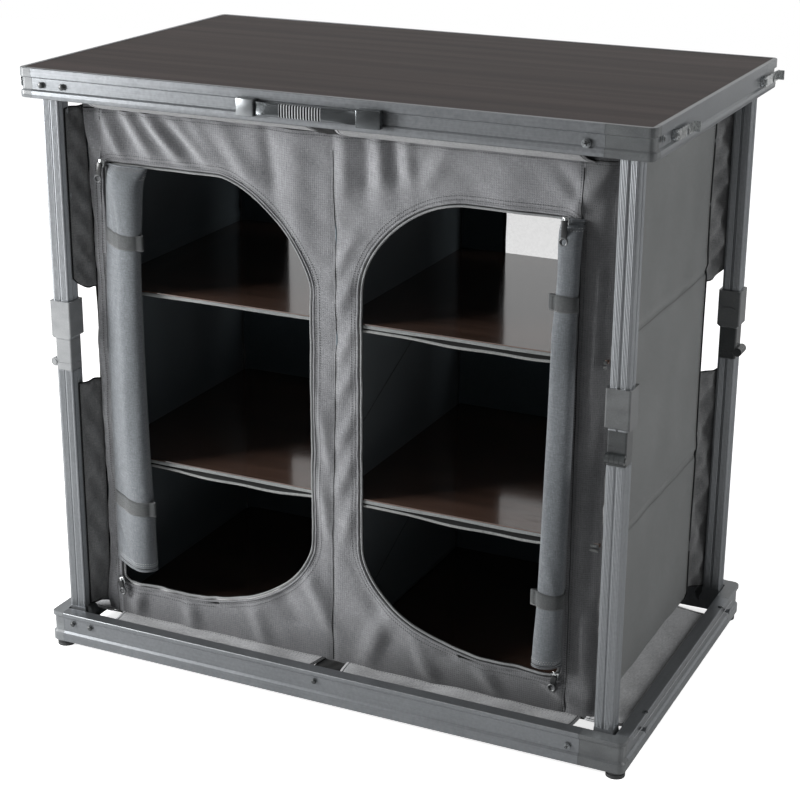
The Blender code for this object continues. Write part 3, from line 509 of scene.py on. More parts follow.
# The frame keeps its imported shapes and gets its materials. The first name that fits a node counts.
finishes = {
    "table_board": tableWood, "lower_shelf": shelfWood, "upper_shelf": shelfWood,
    # The lf upper tube takes the paler copy: painted light.
    "floor_board": shelfWood, "latch": steel, "foot": footRubber, "upper_tube_lf": paintedLitTube,
    "lower_tube": tubeZ, "upper_tube": tubeZ, "handle_cap": paintedLitCapPlastic,
    # The rf corners take the darker copy: painted shade.
    "handle_strap": strapPlastic, "base_corner_rf": paintedShadeCorner, "top_corner_rf": paintedShadeCorner,
    # The lf collar and knee take the paler copy: painted light.
    "base_corner": cornerPlastic, "top_corner": cornerPlastic, "lock_collar_lf": paintedLitCollar,
    "knee_head_lf": paintedLitCollar, "knee_socket_lf": paintedLitCollar, "lock_collar": collarPlastic,
    "knee_socket": kneePlastic, "knee_head": kneePlastic,
    **{f"{level}_rail_{side}": railX if side in ("front", "back") else railY
       for level in ("base", "top") for side in ("front", "back", "left", "right")}}
for name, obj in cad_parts.items():
    finish = next((finishes[key] for key in finishes if name.startswith(key)), frontCloth)
    for slot in obj.material_slots:
        slot.material = finish
print("frame dressed")


# Fabric cabinet: where its walls stand, its lower and upper edge, and the radius of its corners.
cabinet = dict(side=0.368, front=-0.1973, back=0.206, foot=0.044, top=0.8109, corner=0.020)

# How far outside the doors' outlines their binding lies.
hemGrow = 0.0062

# How far the side edges stand out at each height: the cloth is drawn in between its ends.
waist = [(0.045, 0.374), (0.21, 0.372), (0.36, 0.371), (0.50, 0.371), (0.64, 0.374), (0.77, 0.379),
         (0.82, 0.380)]

# Folds of the front: from (x, z) to (x, z), half width and height, in millimetres for the last two.
frontFolds = [
    (-0.340, 0.768, -0.316, 0.717, 7, 2.8), (-0.306, 0.768, -0.272, 0.722, 7, 2.6),
    (-0.272, 0.766, -0.226, 0.718, 7.5, 2.9), (-0.231, 0.764, -0.180, 0.716, 8, 2.4),
    (-0.322, 0.768, -0.294, 0.722, 6, -1.3), (-0.288, 0.767, -0.250, 0.722, 6.5, -1.4),
    (-0.252, 0.765, -0.204, 0.718, 7, -1.4), (-0.205, 0.764, -0.160, 0.712, 8, 1.4),
    (-0.357, 0.780, -0.350, 0.715, 6, 3.0), (-0.345, 0.785, -0.342, 0.730, 4, -2.4),
    (-0.165, 0.768, -0.120, 0.700, 13, 2.0), (-0.100, 0.775, -0.088, 0.690, 10, -1.8),
    (-0.060, 0.780, -0.050, 0.640, 20, 2.2), (0.012, 0.775, 0.014, 0.700, 10, 2.0),
    (0.040, 0.775, 0.042, 0.700, 9, -2.0), (0.060, 0.772, 0.064, 0.716, 8, 2.0),
    (0.079, 0.770, 0.084, 0.718, 7, -2.0), (0.098, 0.770, 0.104, 0.722, 8, 1.8),
    (0.150, 0.760, 0.125, 0.722, 12, 1.6), (0.300, 0.752, 0.332, 0.716, 8, -1.6),
    (0.345, 0.752, 0.318, 0.706, 9, 2.6), (0.357, 0.770, 0.352, 0.560, 7, -2.0),
    (0.349, 0.640, 0.345, 0.430, 6, 2.0), (0.355, 0.450, 0.348, 0.200, 7, -1.8),
    (0.344, 0.330, 0.347, 0.110, 6, 1.8), (-0.352, 0.640, -0.350, 0.440, 7, 2.0),
    (-0.358, 0.470, -0.352, 0.260, 7, 2.2), (-0.346, 0.300, -0.352, 0.100, 6, -1.6),
    (0.026, 0.640, 0.004, 0.600, 8, 1.6), (0.028, 0.590, 0.006, 0.548, 9, 1.8),
    (0.030, 0.530, 0.008, 0.486, 8, 1.5), (0.030, 0.468, 0.006, 0.430, 9, 1.9),
    (0.030, 0.410, 0.008, 0.366, 8, 1.7), (0.028, 0.350, 0.006, 0.300, 9, 2.0),
    (0.030, 0.286, 0.012, 0.230, 10, 1.8), (-0.028, 0.420, -0.010, 0.330, 8, 1.4),
    (-0.030, 0.320, -0.010, 0.230, 8, 1.6), (-0.055, 0.190, -0.012, 0.100, 12, 2.4),
    (-0.095, 0.130, -0.040, 0.060, 14, -1.8), (-0.130, 0.100, -0.112, 0.052, 13, 2.0),
    (-0.190, 0.098, -0.180, 0.050, 11, -1.8), (-0.235, 0.098, -0.228, 0.052, 12, 2.2),
    (-0.280, 0.098, -0.286, 0.054, 10, -2.2), (-0.312, 0.102, -0.320, 0.052, 12, 3.0),
    (-0.352, 0.110, -0.362, 0.050, 9, 2.6), (0.030, 0.200, 0.080, 0.090, 14, -1.8),
    (0.070, 0.120, 0.045, 0.060, 15, 2.8), (0.115, 0.104, 0.140, 0.052, 12, 2.2),
    (0.155, 0.100, 0.190, 0.052, 11, -2.0), (0.205, 0.098, 0.232, 0.052, 12, 2.2),
    (0.255, 0.098, 0.290, 0.056, 10, -2.0), (0.292, 0.100, 0.330, 0.066, 10, 2.4)]


def foldsAt(folds, x, z):
    # Sum of the folds at places x, z: rounded ridges that fade out at both ends.
    total = np.zeros_like(x)
    for x1, z1, x2, z2, half, rise in folds:
        run = np.array((x2 - x1, z2 - z1))
        length = np.hypot(*run)
        ahead = run / length
        along = (x - x1) * ahead[0] + (z - z1) * ahead[1]
        aside = (x - x1) * ahead[1] - (z - z1) * ahead[0]
        fade = (1 / (1 + np.exp(-(along + 0.006) / 0.008))
                / (1 + np.exp((along - length - 0.006) / 0.008)))
        total += rise * 0.001 * np.exp(-(aside / (half * 0.001)) ** 2) * fade
    return total


def foldAt(folds, x, z):
    return foldsAt(folds, np.array([x]), np.array([z]))[0]


def ripple(x, z, seed, size=0.045, rise=0.0009):
    # Slow unevenness from a few crossed waves.
    total = np.zeros_like(x)
    source = random.Random(seed)
    for _ in range(9):
        angle = source.uniform(0, math.pi)
        wave = math.tau / (size * source.uniform(0.6, 2.2))
        shift = source.uniform(0, 6.28)
        total += np.sin((x * math.cos(angle) + z * math.sin(angle)) * wave + shift)
    return total * rise / 3


def groove(away, half, deep):
    # A pulled-in line of cloth, by how far away it is.
    return -deep * np.exp(-(away / half) ** 2)


def calm(x, z):
    # The folds run out towards the stiff edges of the doorways.
    near = [min(abs(depthIn(door, px, pz, 0.006)[0]) for door in doors.values())
            for px, pz in zip(np.ravel(x), np.ravel(z))]
    share = np.clip(np.array(near).reshape(np.shape(x)) / 0.016, 0, 1)
    return 0.30 + 0.70 * share ** 2 * (3 - 2 * share)


# Seams of the front from the top down: places, how far aside the thread runs, and the radius of
# the dark line along it.
seams = [([(-0.0040, 0.7600), (-0.0007, 0.6300), (-0.0002, 0.5310), (-0.0034, 0.3520),
           (-0.0067, 0.1940), (-0.0077, 0.0450)], 0.0016, 0.0008),
         ([(-0.3400, 0.772), (-0.3470, 0.610), (-0.3480, 0.045)], 0.0, 0.0004),
         ([(0.3260, 0.772), (0.3285, 0.045)], -0.0030, 0.0006)]


def frontRise(x, z):
    x, z = np.asarray(x, float), np.asarray(z, float)
    middle = np.interp(z, [spot[1] for spot in seams[0][0][::-1]],
                       [spot[0] for spot in seams[0][0][::-1]])
    pulled = (groove(x - middle, 0.004, 0.0018) + groove(np.abs(x + 0.010) - 0.338, 0.003, 0.0014)
              + groove(z - 0.772, 0.004, 0.0020))
    rise = 2.9 * calm(x, z) * foldsAt(frontFolds, x, z) + ripple(x, z, 3)
    # Above the floor board's edge the cloth only stands outwards.
    return np.maximum(rise, np.where(z < 0.085, 0.0002, -0.006)) + pulled


def wrapped(x, rise, z):
    # Puts a front place on the cloth, round the corners to the sides beyond its face.
    front, bend, side = cabinet["front"], cabinet["corner"], math.copysign(1, x)
    edge = onTable(waist, z)
    flat = edge - bend
    outer = min(1.0, max(0.0, (abs(x) - 0.325) / 0.03))
    reach = abs(x) * (1 + (edge / cabinet["side"] - 1) * outer)
    if reach <= flat:
        return Vector((side * reach, front - rise, z))
    turned = (reach - flat) / bend
    if turned < math.pi / 2:
        return Vector((side * (flat + (bend + rise) * math.sin(turned)),
                       front + bend - (bend + rise) * math.cos(turned), z))
    return Vector((side * (edge + rise), front + bend + reach - flat - math.pi / 2 * bend, z))


def onFront(spots, lift=0.0):
    spots = np.array([spot[:2] for spot in spots], float)
    return [wrapped(x, rise + lift, z) for (x, z), rise in zip(spots, frontRise(*spots.T))]


squareCorner = (0.010, 0.010, 2)
doors = {"left": dict(x0=-0.336, x1=-0.0385, z0=0.096, z1=0.6985,
                      radii=[squareCorner, (0.20, 0.125, 2), (0.130, 0.130, 1.52), squareCorner]),
         "right": dict(x0=0.037, x1=0.3165, z0=0.0965, z1=0.6975,
                       radii=[(0.20, 0.125, 2), squareCorner, squareCorner, (0.138, 0.125, 1.75)])}


def depthIn(opening, x, z, grow=0.0):
    # Signed distance to an opening's outline, with the way out of it.
    x0, x1, z0, z1 = (opening[key] for key in ("x0", "x1", "z0", "z1"))
    dx, dz = x - (x0 + x1) / 2, z - (z0 + z1) / 2
    hx, hz = (x1 - x0) / 2 + grow, (z1 - z0) / 2 + grow
    wide, tall, full = opening["radii"][(1 if dx > 0 else 0) if dz <= 0 else (2 if dx > 0 else 3)]
    wide, tall = wide + grow, tall + grow
    qx, qz = abs(dx) - hx + wide, abs(dz) - hz + tall
    sx, sz = math.copysign(1, dx), math.copysign(1, dz)
    if qx > 0 and qz > 0:
        far = ((qx / wide) ** full + (qz / tall) ** full) ** (1 / full)
        gx, gz = (qx / wide / far) ** (full - 1) / wide, (qz / tall / far) ** (full - 1) / tall
        steep = math.hypot(gx, gz)
        return (far - 1) / steep, sx * gx / steep, sz * gz / steep
    if abs(dx) - hx > abs(dz) - hz:
        return abs(dx) - hx, sx, 0.0
    return abs(dz) - hz, 0.0, sz


def cutPanel(half, low, cell, openings, grow=0.0):
    # A flat sheet up to the cabinet's top with openings, whose outlines nearby points move onto.
    high = cabinet["top"]
    bm = grid(round(2 * half / cell), round((high - low) / cell),
              lambda u, v: Vector(((u - 0.5) * 2 * half, 0, low + v * (high - low))))
    for vert in bm.verts:
        for opening in openings:
            depth, ox, oz = depthIn(opening, vert.co.x, vert.co.z, grow)
            if abs(depth) < cell * 0.62:
                vert.co -= Vector((ox, 0, oz)) * depth
    gone = [face for face in bm.faces if any(
        depthIn(opening, *face.calc_center_median().xz, grow)[0] < 0 for opening in openings)]
    bmesh.ops.delete(bm, geom=gone, context="FACES")
    return bm


def hangs(x):
    # The bottom edge hangs in a slow curve.
    heights = [(-0.37, 0.044), (-0.21, 0.034), (-0.05, 0.038), (0.17, 0.042), (0.37, 0.0425)]
    return onTable(heights, x)


def makeFront(low=0.0375):
    bm = cutPanel(0.392, low, 0.005, doors.values(), hemGrow)
    places = np.array([vert.co for vert in bm.verts])
    for vert, rise in zip(bm.verts, frontRise(places[:, 0], places[:, 2])):
        drawn = min(1.0, max(0.0, (0.075 - vert.co.z) / 0.03))
        vert.co = wrapped(vert.co.x, float(rise), vert.co.z)
        vert.co.z += (hangs(vert.co.x) - low) * drawn
    # Beyond the right seam the faces take the painted-shade copy of the cloth, and beyond the left
    # seam the painted-light copy.
    for face in bm.faces:
        x = face.calc_center_median().x
        face.material_index = 2 if x > 0.3285 else 4 if x < -0.3475 else 0
    front = sew("frontCloth", facing(bm, toFront),
                [frontCloth, lining, paintedShadeCornerCloth, lining, leftCornerCloth, lining], (0.784, 0.773),
                "front_panel", area=0.27, thick=0.0012, offset=-1.0, lined=True)
    finer = front.modifiers.new("finer", "SUBSURF")
    finer.levels = finer.render_levels = 1


makeFront()
print("front cloth made")


# Doorways: two stitched rows, a folded binding, the zip tape with its coil, and a pale edge cord.
def makeDoorway(side, door, wide=0.0118):
    def ring(grow, lift):
        return onFront(roundedPath(door, grow), lift)

    sewCords(side + "DoorBinding", frontCloth, (ring(hemGrow, -0.0002), 0.0016), closed=True)
    outline = roundedPath(door, hemGrow + 0.006, 0.006)
    count = len(outline)
    rows = [onFront([(x - ox * v * wide, z - oz * v * wide) for x, z, ox, oz in outline],
                    -0.0036 - 0.0006 * math.sin(v * math.pi)) for v in np.linspace(0, 1, 6)]
    bm = grid(count, 5, lambda u, v: rows[round(v * 5)][round(u * count) % count])
    bmesh.ops.remove_doubles(bm, verts=bm.verts, dist=1e-5)
    long = sum(math.dist(a[:2], b[:2]) for a, b in zip(outline, outline[1:] + outline[:1]))
    sew(side + "ZipTape", facing(bm, toFront), webbing, (wide, long), thick=0.0008)
    sewCords(side + "ZipCoil", hubPlastic, (ring(0.0040, -0.0008), 0.0014), closed=True,
             resolution=1)
    sewCords(side + "EdgeCord", edgeCord, (ring(0.0015, -0.0010), 0.0016), closed=True)
    sewStitches(side + "DoorStitches", [ring(hemGrow + out, 0.0003) for out in (0.0036, 0.0084)],
                toFront, closed=True, length=0.0021, radius=0.0005)


for side, door in doors.items():
    makeDoorway(side, door)


# Long seams of the front, the seam under its top and its hem, each with its thread.
def seamLine(line, aside, above, lift):
    heights = np.linspace(line[0][1] - above, line[-1][1], 150)
    places = np.interp(-heights, [-z for _, z in line], [x for x, _ in line]) + aside
    return onFront(list(zip(places, heights)), lift)


sewStitches("frontSeamStitches", [
    *(seamLine(line, aside, 0.0, 0.0002) for line, aside, _ in seams),
    onFront([(x, 0.7675) for x in np.linspace(-0.366, 0.366, 160)], 0.0002)], toFront)
sewCords("frontSeamShadows", webbing,
         *((seamLine(line, 0.0, 0.01, 0.0003), radius) for line, _, radius in seams),
         (onFront([(x, 0.772) for x in np.linspace(-0.368, 0.368, 160)], 0.0002), 0.0008),
         *((onFront([(x, hangs(x) + 0.0003) for x in np.linspace(low, high, 90)], 0.0001), 0.0009)
           for low, high in ((-0.366, -0.024), (0.020, 0.366))), resolution=1)
print("doorways made")


# Side walls: a stiff board in flat cloth with two cross seams and piped edges.
sideFolds = [(-0.120, 0.780, -0.100, 0.640, 30, 1.0), (0.060, 0.500, 0.080, 0.330, 34, 1.1),
             (-0.050, 0.240, -0.030, 0.090, 30, 1.2), (0.150, 0.760, 0.160, 0.600, 20, 0.9),
             (0.130, 0.240, 0.160, 0.080, 22, 1.2)]
crossSeams = (0.272, 0.542)


def makeSide(name, side):
    front, back = cabinet["front"] + 0.012, cabinet["back"] - 0.006
    low, tall = cabinet["foot"], cabinet["top"] - cabinet["foot"]

    def at(u, v, lift=0.0):
        y, z = front + (back - front) * u, low + tall * v
        near = min(1.0, max(0.0, (0.06 - (y - front)) / 0.06))
        pull = near * (onTable(waist, z) - cabinet["side"])
        rise = float(foldAt(sideFolds, y, z) + ripple(np.array([y]), z, 11 + side, 0.12, 0.0007)[0])
        for seam in crossSeams:
            rise += groove(z - seam, 0.0035, 0.0026) - groove(z - seam - 0.012, 0.009, 0.0010)
        rise += groove(z - low, 0.006, 0.003)
        return Vector((side * (cabinet["side"] + pull + rise + lift), y, z))

    out = Vector((side, 0, 0))
    sew(name, facing(grid(44, 150, at), out), [boardCloth, lining], (0.391, 0.767), "cabinet_shell",
        thick=0.0014, offset=-1.0, lined=True)
    rows = [[at(u, (seam - 0.0045 - low) / tall, 0.0002) for u in np.linspace(0.01, 0.99, 60)]
            for seam in crossSeams]
    rows += [[at(u, v, 0.0002) for v in np.linspace(0.01, 0.98, 90)] for u in (0.018, 0.982)]
    sewStitches(name + "Stitches", rows, out, pitch=0.0036)
    sewCords(name + "Piping", webbing,
             *(([at(u, v) for v in np.linspace(0.0, 1.0, 90)], 0.0019) for u in (0.0, 1.0)))


makeSide("rightWall", 1)
makeSide("leftWall", -1)

# Back: one sheet with two windows, each with a bound edge and a clear film.
windows = {name: dict(x0=x0, x1=x1, z0=0.424, z1=0.740, radii=[(0.012, 0.012, 2)] * 4)
           for name, x0, x1 in (("Left", -0.290, -0.066), ("Right", 0.066, 0.290))}


def onBack(x, z, lift=0.0):
    rise = ripple(np.asarray(x, float), z, 21, 0.09, 0.0011) + groove(x, 0.004, 0.0015)
    return Vector((x, cabinet["back"] + float(rise) + lift, z))


def makeBack():
    half = cabinet["side"] - 0.002
    bm = cutPanel(half, cabinet["foot"], 0.007, windows.values())
    for vert in bm.verts:
        past = max(0.0, abs(vert.co.x) - (half - 0.014))
        vert.co = onBack(vert.co.x, vert.co.z, -past ** 2 / 0.022)
    sew("backWall", facing(bm, toBack), [frontCloth, lining], (0.732, 0.767), "cabinet_shell",
        area=0.42, thick=0.0012, offset=-1.0, lined=True)
    for index, (name, window) in enumerate(windows.items()):
        def ring(grow, lift):
            return [onBack(x, z, lift) for x, z, _, _ in roundedPath(window, grow, 0.007)]

        sewCords(f"window{name}Binding", webbing, (ring(0.0, -0.0003), 0.0022), closed=True)
        sewStitches(f"window{name}Stitches", [ring(grow, 0.0002) for grow in (0.006, 0.011)],
                    toBack, closed=True, pitch=0.0040)
        wide, tall = (window[axis + "1"] - window[axis + "0"] + 0.004 for axis in "xz")
        bm = grid(24, 30, lambda u, v: Vector((
            window["x0"] - 0.002 + wide * u,
            cabinet["back"] - 0.001 + 0.0015 * math.sin(5 * u + index) * math.sin(4 * v),
            window["z0"] - 0.002 + tall * v)))
        sew(f"window{name}Film", bm, windowFilm, (wide, tall))


makeBack()
bm = grid(60, 34, lambda u, v: Vector((
    -0.364 + 0.728 * u, cabinet["front"] + 0.004 + 0.396 * v,
    0.0445 - 0.004 * math.sin(math.pi * u) * math.sin(math.pi * v)
    + 0.0006 * math.sin(40 * u) * math.sin(31 * v))))
sew("cabinetBottom", facing(bm, -upwards), floorLining, (0.728, 0.396), "cabinet_shell",
    thick=0.0012, offset=1.0)
print("walls made")


# Divider: a slack black sheet, hemmed at its front edge, with darker cords along the shelf lines as
# painted shade in their creases.
def makeDivider():
    front, back, low = cabinet["front"] + 0.003, cabinet["back"] - 0.004, 0.0535

    def at(u, v, aside=0.0):
        slack = 0.0003 * math.sin(9 * u + 5 * v) + 0.0002 * math.sin(17 * v + 3)
        return Vector((slack + aside, front + (back - front) * u, low + (cabinet["top"] - low) * v))

    sew("dividerWall", facing(grid(40, 90, at), Vector((1, 0, 0))), lining, (0.396, 0.757),
        "divider", thick=0.0012)
    sewCords("dividerCreases", creaseCloth,
             *(([at(u, v + 0.24 * u, side * 0.0010) for u in np.linspace(0.02, 0.98, 40)], 0.0005)
               for side in (-1, 1) for v in (0.02, 0.37, 0.70)), resolution=1)
    sewCords("dividerHem", lining, ([at(0.0, v) for v in np.linspace(0, 1, 60)], 0.0016))


makeDivider()

# Wings: webs of soft cloth from the cabinet's edges to the legs, above and below the knees.
legs = {"lf": (-0.3985, -0.221), "rf": (0.395, -0.2245), "lb": (-0.395, 0.2365),
        "rb": (0.3985, 0.233)}


def makeWing(corner, seed, level, low, high):
    lx, ly = legs[corner]
    sx, sy = math.copysign(1, lx), math.copysign(1, ly)
    outer = Vector((lx - sx * 0.0129, ly - sy * 0.001, 0))
    inner = Vector((sx * (cabinet["side"] - 0.003),
                    cabinet["front"] + 0.006 if sy < 0 else cabinet["back"] - 0.009, 0))
    run = outer - inner
    across = Vector((-run.y, run.x, 0)).normalized()

    def at(u, v):
        z = low + (high - low) * v
        edge = (onTable(waist, z) - cabinet["side"]) * (sy < 0)
        z += 0.0012 * u ** 1.5 * (1 - 2 * v)
        # The collar needs room above it.
        z += 0.013 * u ** 3 * (1 - v) ** 6 * (level == "Upper")
        belly = math.sin(math.pi * u) ** 0.7 * (0.35 if corner == "rf" else 1.0)
        wave = belly * (0.0040 * math.sin(v * 15 + seed * 1.7 + 4 * u)
                        + 0.0024 * math.sin(v * 37 + seed - 7 * u)
                        + 0.0012 * math.sin(v * 71 + 2 * seed + 9 * u))
        point = inner + run * u + across * wave
        return Vector((point.x + sx * edge * (1 - u), point.y, z))

    name = f"wing{level}{corner.title()}"
    sew(name, facing(grid(8, 56, at), across), wingCloth, (run.length, high - low),
        "front_panel" if sy < 0 else "cabinet_shell", held="hung", thick=0.0012)
    sewCords(name + "Hem", webbing,
             *(([at(u, v) for u in np.linspace(0, 1, 9)], 0.0011) for v in (0.0, 1.0)),
             ([at(1.0, v) for v in np.linspace(0, 1, 40)], 0.0012), resolution=1)


for seed, corner in enumerate(legs, 1):
    makeWing(corner, seed + 10, "Upper", 0.527, 0.773)
    makeWing(corner, seed, "Lower", 0.058, 0.394)
print("wings made")


# Flaps: cloth strips from the cabinet's bottom out to the base rails and from its top up to the top
# rails. The front and back ones are split in the middle, where black webbing crosses.
wallAt = dict(Front=cabinet["front"], Back=cabinet["back"], Right=cabinet["side"],
              Left=-cabinet["side"])
railAt = dict(Front=-0.2372, Back=0.2492, Right=0.4112, Left=-0.4112)

# Name, a seed for each wall, span, how far inside the wall it starts, heights of the sewn and the
# held edge, how much narrower that one is at each end, sag, wrinkle and cloth.
flaps = [
    ("bottom{}FlapLeft", dict(Front=3, Back=3), (-0.345, -0.019), 0.0015, (0.0445, 0.0475),
     0.006, 0.003, 0.0056, flapCloth),
    ("bottom{}FlapRight", dict(Front=4, Back=4), (0.014, 0.352), 0.0015, (0.0445, 0.0475),
     0.006, 0.003, 0.0056, flapCloth),
    ("bottom{}Flap", dict(Right=5, Left=6), (-0.206, 0.168), 0.009, (0.0470, 0.0455),
     0.008, 0.0015, 0.0030, sideFlapCloth),
    ("top{}FlapLeft", dict(Front=7, Back=7), (-0.345, -0.019), 0.001, (0.772, 0.7925),
     0.004, 0.0006, 0.0006, flapCloth),
    ("top{}FlapRight", dict(Front=8, Back=8), (0.014, 0.340), 0.001, (0.770, 0.7905),
     0.004, 0.001, 0.0010, flapCloth),
    ("top{}Flap", dict(Right=9, Left=10), (-0.180, 0.190), 0.001, (0.770, 0.7915),
     0.010, 0.001, 0.0008, flapCloth)]


def makeFlap(name, wall, seed, span, inside, heights, ends, sag, wrinkle, cloth):
    low, high = span
    near = wallAt[wall] - math.copysign(inside, wallAt[wall])
    far = railAt[wall]
    source = random.Random(seed)
    waves = [(source.uniform(25, 90), source.uniform(0, 6), source.uniform(-30, 30))
             for _ in range(5)]

    def at(u, v, lift=0.0):
        inset = ends * v
        along = low + inset + (high - low - 2 * inset) * u
        bulge = math.sin(math.pi * v)
        across = near + (far - near) * v + math.copysign(0.006, far) * bulge * (heights[0] > 0.5)
        height = heights[0] + (heights[1] - heights[0]) * v
        height -= sag * bulge * (0.7 + 0.3 * math.sin(9 * u + seed))
        puff = sum(math.sin(along * wave + shift + v * slant * 0.1)
                   for wave, shift, slant in waves) / 5
        height += wrinkle * puff * math.sin(math.pi * min(1, v * 0.9 + 0.1)) + lift
        spot = (along, across) if wall in ("Front", "Back") else (across, along)
        return Vector((*spot, height))

    length = high - low
    bm = facing(grid(max(12, round(length / 0.007)), 12, at), upwards)
    wide = math.dist((near, heights[0]), (far, heights[1]))
    sew(name, bm, cloth, (length, wide), "cabinet_shell", area=wide * (length - ends), held="hung",
        thick=0.0011)
    bm = bmesh.new()
    for v in (0.10, 0.9):
        row = [at(u, v, 0.0007) for u in np.linspace(0.01, 0.99, 60)]
        addStitches(bm, row, upwards, pitch=0.004)
    for u in (0.012, 0.988):
        addTube(bm, [at(u, v) for v in np.linspace(0, 1, 8)], 0.0009)
    sew(name + "Hem", bm, thread)


for level in ("bottom", "top"):
    for wall in wallAt:
        for name, seeds, *sizes in flaps:
            if name.startswith(level) and wall in seeds:
                makeFlap(name.format(wall), wall, seeds[wall], *sizes)
for wall in ("Front", "Back"):
    near, far = wallAt[wall] - math.copysign(0.001, wallAt[wall]), railAt[wall]
    for level, low, high in (("bottom", 0.0425, 0.0455), ("top", 0.7705, 0.7905)):
        bm = grid(10, 10, lambda u, v: Vector((
            -0.0225 + 0.040 * u, near + (far - near) * v,
            low + (high - low) * v + 0.0004 * math.sin(14 * u + 5 * v))))
        sew(f"{level}{wall}Webbing", facing(bm, upwards), webbing,
            (0.040, math.dist((near, low), (far, high))), "cabinet_shell", thick=0.0014)
print("flaps made")


# Rolled doors: each strip starts at its seam beside the opening, crosses the front of the roll and
# winds inwards to a core. The tables give sizes and outward places at heights. The folds are listed
# along the strip, and the turns are kept apart.
rolls = {
    "Left": dict(sign=-1, turns=3.4, slack=1.203, ends=(0.1300, 0.6990), bands=(0.602, 0.2235),
                 seam=[(0.118, 0.3490), (0.22, 0.3485), (0.34, 0.3490), (0.44, 0.3490),
                       (0.53, 0.3470), (0.61, 0.3425), (0.695, 0.3400)],
                 radius=[(0.112, 0.0165), (0.118, 0.0190), (0.130, 0.0212), (0.180, 0.0206),
                         (0.204, 0.0196), (0.30, 0.0195), (0.45, 0.0190), (0.56, 0.0184),
                         (0.594, 0.0172), (0.625, 0.0196), (0.665, 0.0236), (0.695, 0.0258)],
                 rim=[(0.118, 0.2700), (0.150, 0.2705), (0.204, 0.2725), (0.30, 0.2760),
                      (0.36, 0.2772), (0.45, 0.2784), (0.54, 0.2792), (0.594, 0.2785),
                      (0.64, 0.2715), (0.695, 0.2640)],
                 folds=[(0.006, 0.190, 0.052, 0.140, 7, -3.2), (0.020, 0.184, 0.062, 0.142, 4, 2.6),
                        (0.030, 0.655, 0.034, 0.605, 6, 1.6), (0.046, 0.662, 0.040, 0.610, 5, -1.8),
                        (0.050, 0.560, 0.036, 0.505, 7, -1.8), (0.014, 0.400, 0.022, 0.300, 8, 1.2),
                        (0.060, 0.480, 0.054, 0.330, 8, 1.4),
                        (0.030, 0.250, 0.034, 0.220, 7, -1.4)]),
    "Right": dict(sign=1, turns=3.0, slack=1.067, ends=(0.1130, 0.7000), bands=(0.599, 0.209),
                  seam=[(0.118, 0.3225), (0.70, 0.3215)],
                  radius=[(0.112, 0.0150), (0.118, 0.0170), (0.130, 0.0196), (0.204, 0.0180),
                          (0.30, 0.0180), (0.45, 0.0168), (0.56, 0.0158), (0.594, 0.0142),
                          (0.64, 0.0142), (0.695, 0.0155)],
                  rim=[(0.118, 0.2835), (0.150, 0.2845), (0.204, 0.2880), (0.318, 0.2905),
                       (0.40, 0.2928), (0.45, 0.2940), (0.5624, 0.2955), (0.594, 0.2985),
                       (0.634, 0.3000), (0.695, 0.2990)],
                  folds=[(0.045, 0.250, 0.036, 0.222, 5, 2.2), (0.034, 0.196, 0.032, 0.168, 6, 1.8),
                         (0.022, 0.186, 0.020, 0.160, 6, -1.6),
                         (0.030, 0.500, 0.036, 0.330, 9, 1.2)])}


def rollAt(roll, z):
    # The circle of the roll and the seam at a height, in outward and front-back places.
    radius = onTable(roll["radius"], z)
    centre = (onTable(roll["rim"], z) + roll["slack"] * radius, cabinet["front"] - radius - 0.0018)
    return centre, radius, onTable(roll["seam"], z)


def rollPath(roll, z, lift=0.0, winding=True, count=96):
    # Places along the strip from the seam inwards.
    centre, radius, seam = rollAt(roll, z)
    wall = cabinet["front"] - 0.0012
    away = (seam - centre[0], wall - centre[1])
    start = math.atan2(away[1], away[0]) - math.acos(min(1.0, radius / math.hypot(*away)))
    out = (math.cos(start), math.sin(start))
    touch = (centre[0] + radius * out[0], centre[1] + radius * out[1])
    facet = math.dist(touch, (seam, wall))
    turns = roll["turns"] if winding else 0.62
    step = (radius - 0.0034) / roll["turns"]
    path = []
    for share in (i / 9 for i in range(9)):
        rise = (foldAt(roll["folds"], share * facet, z) + lift) * min(1.0, share * 3)
        path.append((seam + (touch[0] - seam) * share + out[0] * rise,
                     wall + (touch[1] - wall) * share + out[1] * rise))
    for turned in (turns * i / count for i in range(count + 1)):
        angle = start - math.tau * turned
        come = facet + math.tau * turned * (radius - step * turned / 2)
        ease = min(1.0, turned * 9)
        shape = 1 + ease * (0.035 * math.cos(3 * (angle - 1.9 - 0.3 * math.sin(z * 9)))
                            + 0.014 * math.cos(5 * angle + z * 14) * math.sin(z * 23))
        rise = foldAt(roll["folds"], come, z) if turned < 0.6 else 0.0
        reach = (radius - step * turned) * shape + rise + lift
        path.append((centre[0] + reach * math.cos(angle), centre[1] + reach * math.sin(angle)))
    # The roll lies flattened against the front, and its top end is pinched under the zip.
    flat = onTable([(0.672, 0.66), (0.686, 0.58), (0.698, 0.22)], z)
    return [(m, cabinet["front"] - (cabinet["front"] - y) * flat) for m, y in path]


def overRoll(roll, z, lift):
    # Places over the visible side of the roll.
    return [Vector((roll["sign"] * m, y, z))
            for m, y in rollPath(roll, z, lift, winding=False, count=40)[1:]]


def addRollStitches(bm, roll, z, pitch=0.0034):
    centre = rollAt(roll, z)[0]
    middle = Vector((roll["sign"] * centre[0],
                     cabinet["front"] + 0.66 * (centre[1] - cabinet["front"]), z))
    for spot, ahead in walk(overRoll(roll, z, 0.0010), pitch):
        out = spot - middle
        out.z = 0
        out = (out - ahead * out.dot(ahead)).normalized()
        addStitches(bm, [spot - ahead * pitch * 0.5, spot + ahead * pitch * 0.49], out, pitch=pitch,
                    length=0.0022)


